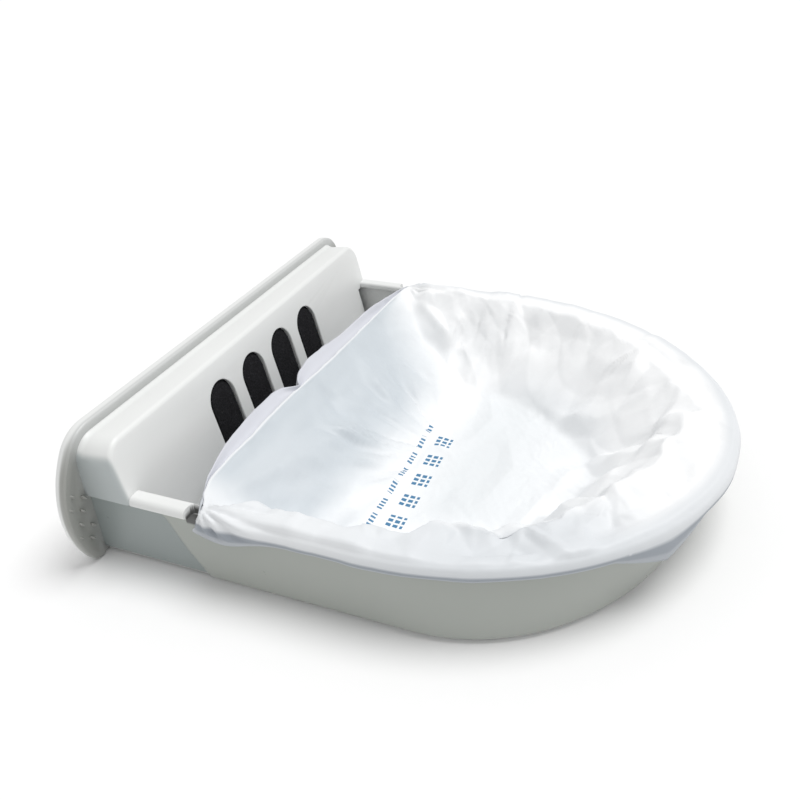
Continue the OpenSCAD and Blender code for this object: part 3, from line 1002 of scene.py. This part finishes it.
def film_ring(level):
    """One square ring of the film: points for its four sides, twice level cells each."""
    whole = max(level, FLOOR_RINGS)
    half, tip, nose, z, rear, rear_z, cx, cy, cz = station(whole)
    steps = np.linspace(0, 1, 6 * level + 1)
    side, length = along(open_curve(half, tip, nose, rear, z), steps)
    reach = 16.0 if whole > TAUT_RING else 24.0
    for corner, end, share in (((-cx, cy, cz), side[0], steps), ((cx, cy, cz), side[-1], 1 - steps)):
        side = side + ease(1 - share * length / reach)[:, None] * (np.array(corner) - end)
    if whole > SKIRT_RING:
        side = skirt(side, steps * length, z, min((whole - SKIRT_RING) / 4.0, 1.0))
    x = mix(cx, -cx, np.linspace(0, 1, 2 * level + 1))
    y, height = rear_side(x, whole, rear, rear_z)
    spread = ease((cx - np.abs(x)) / 8.0)
    back_side = np.stack([x, mix(cy, y, spread), mix(cz, height, spread)], axis=1)
    loop = np.concatenate([back_side[:-1], side[:-1]])
    if level < FLOOR_RINGS:
        middle = np.array([0, FLOOR_MIDDLE, z])
        loop = middle + (loop - middle) * level / FLOOR_RINGS
    return loop


def film_grid():
    """The film's points on a square grid, (2R+1, 2R+1, 3), and the ring number of each."""
    n = 2 * RINGS + 1
    grid = np.zeros((n, n, 3))
    level = np.zeros((n, n), int)
    grid[RINGS, RINGS] = (0, FLOOR_MIDDLE, STATIONS[0][3])
    for k in range(1, RINGS + 1):
        down, up, edge = np.arange(k, -k, -1), np.arange(-k, k), np.full(2 * k, k)
        row = np.concatenate([down, -edge, up, edge]) + RINGS
        column = np.concatenate([edge, down, -edge, up]) + RINGS
        grid[row, column] = film_ring(k)
        level[row, column] = k
    return grid, level


def grid_normals(grid):
    normal = np.cross(np.gradient(grid, axis=0), np.gradient(grid, axis=1))
    return normal / np.maximum(np.linalg.norm(normal, axis=2, keepdims=True), 1e-9)


def crumple(points, size, seed, layers=7):
    """Sharp-creased relief, about -1 to 1: triangle waves in random directions."""
    rng = np.random.default_rng(seed)
    total = np.zeros(points.shape[:-1])
    warp = [np.sin(points @ rng.normal(size=3) / size * 1.7 + rng.uniform(0, 6)) for _ in range(3)]
    bent = points + np.stack(warp, axis=-1) * size * 0.28
    for _ in range(layers):
        way = rng.normal(size=3) * (1, 1, 1.2)
        way /= np.linalg.norm(way)
        length = size * rng.uniform(0.7, 1.6)
        phase = (bent @ way) / length + rng.uniform(0, 1)
        total += (np.abs(phase % 1 - 0.5) * 4 - 1) * rng.uniform(0.5, 1.0)
    return total / layers * 1.9


def from_line(plan, p, q):
    """Each plan point's distance from the line p to q, and how far along the line that is."""
    p, run = np.array(p, float), np.subtract(q, p).astype(float)
    t = np.clip(((plan - p) @ run) / (run @ run), 0, 1)
    return np.linalg.norm(plan - p - t[..., None] * run, axis=-1), t


def fold_relief(plan):
    """Height of the designed folds at each plan point."""
    total = np.zeros(plan.shape[:-1])
    for a, b, c, width, height in FOLDS:
        best = np.full(plan.shape[:-1], 1e9)
        where = np.zeros(plan.shape[:-1])
        for n, (p, q) in enumerate(((a, b), (b, c))):
            away, t = from_line(plan, p, q)
            where = np.where(away < best, (n + t) / 2, where)
            best = np.minimum(best, away)
        taper = np.sin(np.pi * np.clip(where, 0.04, 0.96)) ** 0.6
        total += height * taper * np.clip(1 - best / (width * (0.5 + 0.5 * taper)), 0, 1) ** 1.15
    return total


def film_start():
    """The film before it settles: the draped surface with broad waves, and each point's ring number."""
    grid, level = film_grid()
    inside = ease((44.0 - level) / 5.0)
    front = ease((-grid[..., 1] - 70) / 20)
    relief = crumple(grid, 60, 3) * 3.0 * inside * (0.35 + 0.65 * front)
    relief = np.maximum(relief, -3.0) + ease((FLOOR_RINGS - level) / 6.0) * 1.2
    return grid + grid_normals(grid) * relief[..., None], level


def double(grid, axis):
    """Puts a point between every two neighbours of the grid, on a smooth curve through them."""
    a = np.moveaxis(grid, axis, 0)
    padded = np.concatenate([2 * a[:1] - a[1:2], a, 2 * a[-1:] - a[-2:-1]])  # one straight step past each end
    middle = (9 * (padded[1:-2] + padded[2:-1]) - padded[:-3] - padded[3:]) / 16
    out = np.empty((2 * len(a) - 1,) + a.shape[1:])
    out[::2], out[1::2] = a, middle
    return np.moveaxis(out, 0, axis)


def facets(u, v, seed):
    """Relief made of flat random triangles about one unit of u and v across, from -1 to 1."""
    rng = np.random.default_rng(seed)
    u0, v0 = math.floor(u.min()) - 2, math.floor(v.min()) - 2
    wide, tall = math.ceil(u.max()) + 3 - u0, math.ceil(v.max()) + 3 - v0
    shift = 0.36
    corners = [
        (u0 + i + rng.uniform(-shift, shift), v0 + j + rng.uniform(-shift, shift), rng.uniform(-1, 1))
        for j in range(tall) for i in range(wide)
    ]
    triangles = []
    for j in range(tall - 1):
        for i in range(wide - 1):
            a = j * wide + i
            b, c, d = a + 1, a + wide + 1, a + wide
            triangles += [(a, b, c), (a, c, d)] if rng.random() < 0.5 else [(a, b, d), (b, c, d)]
    tree = BVHTree.FromPolygons(corners, triangles)
    down = Vector((0, 0, -1))
    heights = []
    for a, b in zip(u.reshape(-1).tolist(), v.reshape(-1).tolist()):
        hit = tree.ray_cast(Vector((a, b, 5)), down)[0]
        heights.append(hit.z if hit else 0.0)
    return np.array(heights).reshape(u.shape)


def opening_depth(plan):
    """How far inside the opening each (x, y) lies, negative outside it."""
    best = np.full(plan.shape[:-1], 1e9)
    inside = np.zeros(plan.shape[:-1], bool)
    px, py = plan[..., 0], plan[..., 1]
    for p, q in zip(OPENING, np.roll(OPENING, -1, axis=0)):
        best = np.minimum(best, from_line(plan, p, q)[0])
        if p[1] != q[1]:
            crossing = (q[0] - p[0]) * (py - p[1]) / (q[1] - p[1]) + p[0]
            inside ^= ((p[1] > py) != (q[1] > py)) & (px < crossing)
    return np.where(inside, best, -best)


def spanned(grid, level):
    """Lifts the settled film to where it spans flat from the rim to the opening's crest.

    Returns the points, and how near each is to the crest: 1 on it."""
    x, y, z = (grid[..., axis] for axis in range(3))
    depth = opening_depth(grid[..., :2]) + 3.2 * crumple(grid * (1, 1, 0), 24, 37, 3)
    fall = mix(1.15, 0.78, ease((x + 40) / 90))
    crest = 44.1 + 2.2 * np.clip(1 + depth / 30, 0, 1) - fall * np.clip(depth, 0, None)
    share = ease((-y - 68) / 18) * ease((48.5 - level) / 1.5)
    lifted = 0.5 * (z + crest + np.sqrt((z - crest) ** 2 + 9.0)) - 0.4
    out = grid.copy()
    out[..., 2] = mix(z, np.maximum(z, lifted), share)
    return out, ease(1 - np.abs(depth + 7) / 27) * share


def creases(grid, level, crest):
    """Relief of the film inside the rim: the designed folds, soft creases and flat triangles."""
    x, y, _ = np.moveaxis(grid, -1, 0)
    inside = ease((45.0 - level) / 3.0)
    slope = ease((level - 26) / 5.0) * inside
    front = ease((-y - 70) / 20)
    relief = fold_relief(grid[..., :2]) * inside * ease((-y - 60) / 8) * (1 - 0.45 * crest)
    relief += crumple(grid, 36, 5, 3) * (0.7 + 0.5 * slope) * inside * (0.45 + 0.55 * front)
    relief += crumple(grid, 17, 7, 3) * 0.2 * inside * (0.5 + 0.5 * front)
    # flat triangles run from the rim's edge up to the opening's crest, largest at the near nose
    turn = NOSE_RADIUS * np.arctan2(NOSE_MIDDLE - y, -x)
    reach = np.hypot(x, np.minimum(y - NOSE_MIDDLE, 0))
    bunched = np.exp(-((turn - 76) / 66) ** 2)
    large, small = facets(turn / 17, reach / 25, 41), facets(turn / 8, reach / 11, 43)
    relief += (4.4 * large + 1.9 * small) * crest * (0.4 + 0.8 * bunched) * front
    relief += (2.5 * large + 1.1 * small) * slope * (1 - crest) * front
    relief += 0.7 * facets(x / 24, y / 24, 47) * (1 - slope) * inside * ease((-y - 60) / 20)
    return relief


def gathers(grid, level):
    """Relief of the pleats that fan out from each notch, the doubled rear edge and the slack rim."""
    y = grid[..., 1]
    rear = ease((y + 74) / 10)
    down = (level - TAUT_RING) * 2.4
    out = np.hypot(y + 64, down)
    pleats = np.abs((np.arctan2(down, -y - 62) * 3.1) % 1 - 0.5) * 4 - 1
    pleats *= ease((out - 2) / 6) * ease((62 - out) / 45)
    relief = (pleats * 1.2 + 0.2) * ease((level - 41) / 3) * (1 - rear) * ease((53.5 - level) / 2)
    # the doubled edge is a crisp bead, with thin puckers along it and the hem behind
    relief += crumple(grid * (1, 0.25, 0.25), 8, 17, 4) * 0.35 * ease((level - 43) / 2) * rear
    relief += 0.7 * np.clip(1 - np.abs(level - TAUT_RING) / 0.9, 0, 1) * rear
    # the film stands a little off the rim's outer edge in slack waves
    rim_slack = np.clip(crumple(grid * (1, 1, 0.15), 22, 29, 3) + 0.1, 0, 1)
    return relief + rim_slack * 0.4 * ease((level - 46.5) / 2) * ease((-y - 74) / 10)


def film_detail(grid):
    """The settled film on a grid twice as fine, with its flat span, folds, facets and gathers.

    Returns the points and the ring number of each."""
    grid = double(double(grid, 0), 1)
    ring = np.abs(np.arange(-2 * RINGS, 2 * RINGS + 1)) / 2
    level = np.maximum(ring[:, None], ring)
    grid, crest = spanned(grid, level)
    relief = creases(grid, level, crest) + gathers(grid, level)
    push = grid_normals(grid) + np.array([0, 0, 1.2]) * crest[..., None]
    push /= np.linalg.norm(push, axis=2, keepdims=True)
    return grid + push * relief[..., None], level


def keep_clear(grid, tub):
    """Moves back out every film point that dips into the tub or comes too near to it."""
    bpy.context.view_layer.update()
    tree = BVHTree.FromObject(tub, bpy.context.evaluated_depsgraph_get())
    points = (grid.reshape(-1, 3) * MM + np.array(ORIGIN)).tolist()
    gap, search = TUB_CLEARANCE * MM, 4 * MM
    for i, point in enumerate(points):
        near, normal, _, _ = tree.find_nearest(point, search)
        if near is not None and (Vector(point) - near).dot(normal) < gap:
            points[i] = near + normal * gap
    moved = np.array([tuple(p) for p in points])
    return ((moved - np.array(ORIGIN)) / MM).reshape(grid.shape)


def film_piece(grid, level):
    """The film as a mesh that stores the share of each tint of its material: painted shade where it hangs
    free at the rear, on the doubled hem, on the near side, on the level rear floor, along the rim's edge and
    where the skirt goes in under the rim, and painted light on the far side."""
    mesh = film_mesh(grid)
    x, y, z = np.moveaxis(grid, -1, 0)
    behind = ease((y + 68) / 8)
    ahead = 1 - behind
    free = ease((z - 5.0) / 14.0) * ease((RIM_X - 10.0 - np.abs(x)) / 30.0) * ease((y + 180.0) / 70.0)
    nose = 0.3 + 0.7 * ease((-y - 110) / 90)
    far = x - y
    layers = {
        # painted shade on the free rear wall, the doubled hem, the near side, the level rear floor, the rim's
        # edge and the skirt under the rim; painted light on the far side
        "span": free * ease((TAUT_RING - 0.4 - level) / 0.8),
        "doubled": ease((level - TAUT_RING - 0.2) / 1.0) * behind,
        "shaded": ease((level - 33) / 4) * ease((-x - 25) / 60) * nose * ahead,
        "backlit": ease((level - 18) / 9) * ease((far - 130) / 90) * ease((48 - level) / 4) * ahead,
        "level": ease((24 - level) / 10) * ease((y + 225) / 60),
        "turned": ease((level - 44.5) / 2) * ease((far - 150) / 70) * ahead,
        "tucked_shadow": ease((level - 50.4) / 0.6) * (1 - 0.3 * ease((level - 52.4) / 0.8)) * ahead,
    }
    for name, values in layers.items():
        store_layer(mesh, name, values)
    return mesh


def film_mesh(grid, name="film"):
    index = np.arange(grid.shape[0] * grid.shape[1]).reshape(grid.shape[:2])
    quads = np.stack([index[:-1, :-1], index[1:, :-1], index[1:, 1:], index[:-1, 1:]], axis=-1)
    return mesh_of(name, grid.reshape(-1, 3).tolist(), quads.reshape(-1, 4).tolist())


def collider_mesh(pan):
    """A plain version of the tub's inside and rim, for the film to lie on."""
    inner = pan.wall + 1

    def ring(line, inset, z):
        return tub_ring(line, inset, z, 8.0, [8.0, 30.0, 60.0], 40)

    seat_z = RIM_H - pan.rim_drop
    rings = [
        ring(wall_line(-8), 4.0, -8.0),
        ring(wall_line(0), -0.2, 0.0),
        ring(wall_line(seat_z), 0.0, seat_z - 0.3),
        ring(rim_line(), 0.0, seat_z),
        ring(rim_line(), 0.0, RIM_H - 2.6),
        ring(rim_line(), 0.9, RIM_H - 0.7),
        ring(rim_line(), 2.8, RIM_H),
        ring(rim_line(), pan.flange - 2.0, RIM_H),
        ring(rim_line(), pan.flange, RIM_H - 2.0),
        ring(rim_line(), pan.flange + 0.2, seat_z),
        ring(wall_line(seat_z - 3), inner, seat_z - 3),
        ring(wall_line(8), inner, 8.0),
        ring(wall_line(3), inner + 4, pan.wall + 0.6),
        ring(wall_line(3), inner + 8, pan.wall),
    ]
    return skin("collider", rings)


def slack_key(obj, grid, slack):
    """Adds the shape key of the film cut larger than it is laid, which the cloth takes as its rest."""
    middle = (0, FLOOR_MIDDLE, 0)
    rest = film_mesh((grid - middle) * (1 + slack) + middle, "rest")
    rest.transform(Matrix.Scale(SIM_SCALE, 4))
    obj.shape_key_add(name="Basis")
    key = obj.shape_key_add(name="slack", from_mix=False)
    key.data.foreach_set("co", flat_points(rest))
    key.value = 0.0
    bpy.data.meshes.remove(rest)
    return key


def make_cloth(obj, key):
    """Gives the film its cloth, held where its group says."""
    cloth = obj.modifiers.new("cloth", "CLOTH")
    setup = cloth.settings
    for name, value in {
        "quality": 5, "mass": 0.06, "tension_stiffness": 22, "compression_stiffness": 22,
        "shear_stiffness": 8, "bending_stiffness": 0.12, "tension_damping": 12,
        "compression_damping": 12, "shear_damping": 8, "air_damping": 4,
    }.items():
        setattr(setup, name, value)
    setup.vertex_group_mass = "held"
    setup.rest_shape_key = key
    setup.effector_weights.gravity = 0.5
    cloth.collision_settings.distance_min = 0.004
    cloth.collision_settings.collision_quality = 2


def settle(grid, level, pan, bag):
    """Lets the slack film settle on the tub, held at its skirt and its taut rear edge."""
    larger, smaller = Matrix.Scale(SIM_SCALE, 4), Matrix.Scale(1 / SIM_SCALE, 4)
    obj = new_object("settling_film", film_mesh(grid), None)
    obj.data.transform(larger)
    key = slack_key(obj, grid, bag.slack)
    held = (level > SKIRT_RING) | ((level > TAUT_RING - 1) & (grid[..., 1] > -70))
    group = obj.vertex_groups.new(name="held")
    group.add(np.flatnonzero(held).tolist(), 1.0, "REPLACE")
    tool = new_object("tub_collider", collider_mesh(pan), None)
    tool.data.transform(larger)
    tool.modifiers.new("collision", "COLLISION")
    tool.collision.thickness_outer = 0.003
    tool.collision.cloth_friction = 12.0
    make_cloth(obj, key)
    scene = bpy.context.scene
    for number in range(1, SETTLE_FRAMES + 1):
        scene.frame_set(number)
    result = plain_mesh(obj, "settled")
    scene.frame_set(1)
    result.transform(smaller)
    points = local_points(result).reshape(grid.shape)
    for thing in (obj, tool):
        mesh = thing.data
        bpy.data.objects.remove(thing)
        bpy.data.meshes.remove(mesh)
    bpy.data.meshes.remove(result)
    return points


def thicken(obj, thickness):
    """Makes the film a closed skin, thickness millimetres thick."""
    modifier = obj.modifiers.new("thickness", "SOLIDIFY")
    modifier.thickness, modifier.offset = thickness * MM, 1.0
    apply_modifiers(obj)


# ---------------------------------------------------------------- operators


class OBJECT_OT_pan_tub(bpy.types.Operator):
    """Mould the tub with its rim, notches and set-back rear"""

    bl_idname = "object.pan_tub"
    bl_label = "Tub"

    def execute(self, context):
        pan = context.scene.pan
        plastic = moulded_plastic(
            "tub plastic", pan.plastic,
            # the outer walls, the set-back rear stretch and the notch gap take painted shade
            outer=(0.49, 0.51, 0.48), rear=(0.39, 0.43, 0.43), gap=(0.12, 0.12, 0.12),
        )
        obj = new_object("tub", tub_mesh(pan), plastic)
        (x0, z0), (x1, _) = WINDOW
        cut(obj, [
            block((-RIM_X - 5, -STEP_Y, -3), (RIM_X + 5, 5, REAR_STEP)),
            block((x0 - 1, -pan.wall - 2, z0 - 1), (x1 + 1, 5, RIM_H + 5)),
        ])
        mark_outer(obj.data, pan)
        finish_shading(obj)
        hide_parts("pan_tub")
        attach(obj, "pan")
        return {"FINISHED"}


class OBJECT_OT_pan_end_plate(bpy.types.Operator):
    """Mould the end plate with its rolled edge, cassette window and screw holes"""

    bl_idname = "object.pan_end_plate"
    bl_label = "End plate"

    def execute(self, context):
        pan = context.scene.pan
        plastic = moulded_plastic(
            # the plate's lower front face and its outer ends take painted shade
            "plate plastic", pan.plastic, front=(0.50, 0.51, 0.51), ends=(0.42, 0.42, 0.40)
        )
        obj = new_object("plate", plate_mesh(), plastic)
        (x0, z0), (x1, z1) = WINDOW
        tools = [
            block((x0, -4, z0), (x1, PLATE_BACK + 4, z1)),
            block((1 - RIM_X, -4, -3), (RIM_X - 1, -CUT_SHORT, RIM_H - pan.rim_drop)),
        ]
        tools += [disc_tool(x, z, 2.1, -4, PLATE_BACK + 4) for x, z in screw_places()]
        cut(obj, tools)
        x, y, z = local_points(obj.data).T
        # masks of painted shade: the lower front face and the outer ends
        store_layer(obj.data, "front", ease((1.5 - y) / 1.5) * np.clip((96 - z) / 40, 0, 1))
        store_layer(obj.data, "ends", ease((np.abs(x) - 140) / 10) * ease(2 - y) * ease((84 - z) / 30))
        finish_shading(obj)
        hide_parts("end_plate")
        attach(obj, "pan")
        marks = grown("plate_marks", mark_places(), marks_tree(plastic), **MARK)
        # the marks sit on the plate's ends and take the same painted shade
        store_layer(marks.data, "ends", np.ones(len(marks.data.vertices)))
        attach(marks, "pan")
        return {"FINISHED"}


def screw_places():
    """The (x, z) of every screw through the end plate, in millimetres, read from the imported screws."""
    places = []
    for name in ("plate_screws", "housing_screws"):
        mesh = NODES[name].data.copy()
        tidy(mesh, 1e-5)
        bm = bmesh.new()
        bm.from_mesh(mesh)
        bpy.data.meshes.remove(mesh)
        left = set(bm.verts)
        while left:
            group, todo = [], [left.pop()]
            while todo:
                vert = todo.pop()
                group.append(vert.co.copy())
                for edge in vert.link_edges:
                    other = edge.other_vert(vert)
                    if other in left:
                        left.remove(other)
                        todo.append(other)
            places.append(tuple((min(axis) + max(axis)) / 2 / MM for axis in tuple(zip(*group))[::2]))
        bm.free()
    return places


class OBJECT_OT_pan_housing(bpy.types.Operator):
    """Mould the filter housing with its leaning face and vent slots"""

    bl_idname = "object.pan_housing"
    bl_label = "Filter housing"

    def execute(self, context):
        pan = context.scene.pan
        plastic = moulded_plastic(
            "housing plastic", pan.plastic, 0.38,
            # the lower face is painted lighter, and the housing's ends take painted shade
            low=(12.0, 60.0, (1.18, 1.18, 1.19)), ends=(0.60, 0.64, 0.65),
        )
        obj = new_object("housing", housing_mesh(pan), plastic)
        slots = [slot_tool(pan, (i - 1.5) * pan.slot_pitch) for i in range(4)]
        cut(obj, [cavity_tool(pan)] + slots)
        x = local_points(obj.data).T[0]
        # mask of painted shade on the housing's sides
        store_layer(obj.data, "ends", ease((np.abs(x) - 142.6) / 2.2))
        finish_shading(obj)
        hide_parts("filter_housing")
        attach(obj, "pan")
        return {"FINISHED"}


class OBJECT_OT_pan_filter(bpy.types.Operator):
    """Cut the foam filter and finish the tray, cover and seal of its cassette"""

    bl_idname = "object.pan_filter"
    bl_label = "Filter cassette"

    def execute(self, context):
        pan, filt = context.scene.pan, context.scene.pan_filter
        foam = new_object("foam", foam_mesh(pan, filt), foam_black("carbon foam", filt))
        finish_shading(foam, 60)
        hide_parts("filter_foam")
        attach(foam, "cassette")
        plastic = moulded_plastic("cassette plastic", darker(pan.plastic, 0.97), 0.4)
        self.soften("filter_tray", plastic, 0.5)
        self.soften("filter_cover", plastic, 0.7)
        self.soften("cover_seal", soft_rubber("seal rubber"), 0.25)
        steel = bare_steel("screw steel")
        self.soften("plate_screws", steel, 0.15)
        self.soften("housing_screws", steel, 0.15)
        return {"FINISHED"}

    def soften(self, node, material, width):
        """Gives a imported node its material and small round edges."""
        obj = NODES[node]
        obj.data.materials.clear()
        obj.data.materials.append(material)
        obj.modifiers.new("weld", "WELD").merge_threshold = 1e-5
        bevel = obj.modifiers.new("round edges", "BEVEL")
        bevel.width = width * MM
        bevel.segments = 2
        bevel.limit_method = "ANGLE"
        bevel.angle_limit = math.radians(40)
        bevel.harden_normals = False


class OBJECT_OT_pan_bag(bpy.types.Operator):
    """Drape the liner bag over the tub, hooked into the rim's two notches"""

    bl_idname = "object.pan_bag"
    bl_label = "Liner bag"

    def execute(self, context):
        pan, bag = context.scene.pan, context.scene.pan_bag
        grid, level = film_start()
        grid = settle(grid, level, pan, bag)
        tub = bpy.data.objects["tub"]
        grid, level = film_detail(grid)
        mesh = film_piece(keep_clear(grid, tub), level)
        obj = new_object("bag", mesh, milky_film("bag film", bag))
        thicken(obj, FILM_THICKNESS)
        obj.data.shade_smooth()
        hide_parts("liner_bag")
        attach(obj, "liner")
        return {"FINISHED"}


CAMERA_PLACE = Vector((-392.34, -277.65, 290.13))  # from the end plate's front face, mm
CAMERA_ANGLES = (-67.26, 31.12, -2.28)  # azimuth from the nose, elevation and roll, degrees
LIGHT_WAY = Vector((-0.24, 0.26, -1))  # the way the light travels


class OBJECT_OT_pan_stage(bpy.types.Operator):
    """Add the floor, the lights and the camera"""

    bl_idname = "object.pan_stage"
    bl_label = "Studio"

    def execute(self, context):
        stage = context.scene.pan_stage
        self.floor()
        self.lights(stage)
        self.camera(stage)
        return {"FINISHED"}

    def floor(self):
        size = 6.0
        corners = [(-size, -size, 0), (size, -size, 0), (size, size, 0), (-size, size, 0)]
        mesh = bpy.data.meshes.new("studio_floor")
        mesh.from_pydata(corners, [], [(0, 1, 2, 3)])
        obj = new_object("studio_floor", mesh, studio_floor("studio floor"))
        obj.location.z = -0.0005

    def lights(self, stage):
        scene = bpy.context.scene
        scene.view_settings.view_transform = "Standard"
        world = bpy.data.worlds.new("studio")
        world.use_nodes = True
        background = world.node_tree.nodes["Background"]
        background.inputs["Color"].default_value = (1.0, 1.0, 1.0, 1.0)
        background.inputs["Strength"].default_value = stage.fill
        scene.world = world
        data = bpy.data.lights.new("overhead", "SUN")
        data.energy, data.angle = stage.key, math.radians(38)
        light = bpy.data.objects.new("overhead", data)
        light.rotation_mode = "QUATERNION"
        light.rotation_quaternion = LIGHT_WAY.to_track_quat("-Z", "Y")
        scene.collection.objects.link(light)

    def camera(self, stage):
        azimuth, elevation, roll = (math.radians(angle) for angle in CAMERA_ANGLES)
        level = math.cos(elevation)
        back = Vector((math.sin(azimuth) * level, -math.cos(azimuth) * level, math.sin(elevation)))
        right = (-back).cross(Vector((0, 0, 1))).normalized()
        up = right.cross(-back)
        turned_right = right * math.cos(roll) + up * math.sin(roll)
        turned_up = up * math.cos(roll) - right * math.sin(roll)
        data = bpy.data.cameras.new("camera")
        data.lens, data.sensor_width = stage.lens, 36
        camera = bpy.data.objects.new("camera", data)
        turn = Matrix((turned_right, turned_up, back)).transposed().to_4x4()
        camera.matrix_world = Matrix.Translation(ORIGIN + CAMERA_PLACE * MM) @ turn
        bpy.context.scene.collection.objects.link(camera)
        bpy.context.scene.camera = camera


class VIEW3D_PT_bedpan(bpy.types.Panel):
    """Lists the pieces with their sizes and colours"""

    bl_label = "Bedpan"
    bl_space_type = "VIEW_3D"
    bl_region_type = "UI"
    bl_category = "Bedpan"

    def draw(self, context):
        scene = context.scene
        for group, operators in (
            (scene.pan, ("pan_tub", "pan_end_plate", "pan_housing")),
            (scene.pan_filter, ("pan_filter",)),
            (scene.pan_bag, ("pan_bag",)),
            (scene.pan_stage, ("pan_stage",)),
        ):
            box = self.layout.box()
            for name in type(group).__annotations__:
                box.prop(group, name)
            for name in operators:
                box.operator("object." + name)


CLASSES = (
    PanSettings,
    FilterSettings,
    BagSettings,
    StageSettings,
    OBJECT_OT_pan_tub,
    OBJECT_OT_pan_end_plate,
    OBJECT_OT_pan_housing,
    OBJECT_OT_pan_filter,
    OBJECT_OT_pan_bag,
    OBJECT_OT_pan_stage,
    VIEW3D_PT_bedpan,
)


def register():
    for cls in CLASSES:
        bpy.utils.register_class(cls)
    bpy.types.Scene.pan = bpy.props.PointerProperty(type=PanSettings)
    bpy.types.Scene.pan_filter = bpy.props.PointerProperty(type=FilterSettings)
    bpy.types.Scene.pan_bag = bpy.props.PointerProperty(type=BagSettings)
    bpy.types.Scene.pan_stage = bpy.props.PointerProperty(type=StageSettings)


def unregister():
    for name in ("pan", "pan_filter", "pan_bag", "pan_stage"):
        delattr(bpy.types.Scene, name)
    for cls in reversed(CLASSES):
        bpy.utils.unregister_class(cls)


def main():
    register()
    bpy.ops.object.pan_tub()
    bpy.ops.object.pan_end_plate()
    bpy.ops.object.pan_housing()
    bpy.ops.object.pan_filter()
    bpy.ops.object.pan_bag()
    bpy.ops.object.pan_stage()


if __name__ == "__main__":
    main()
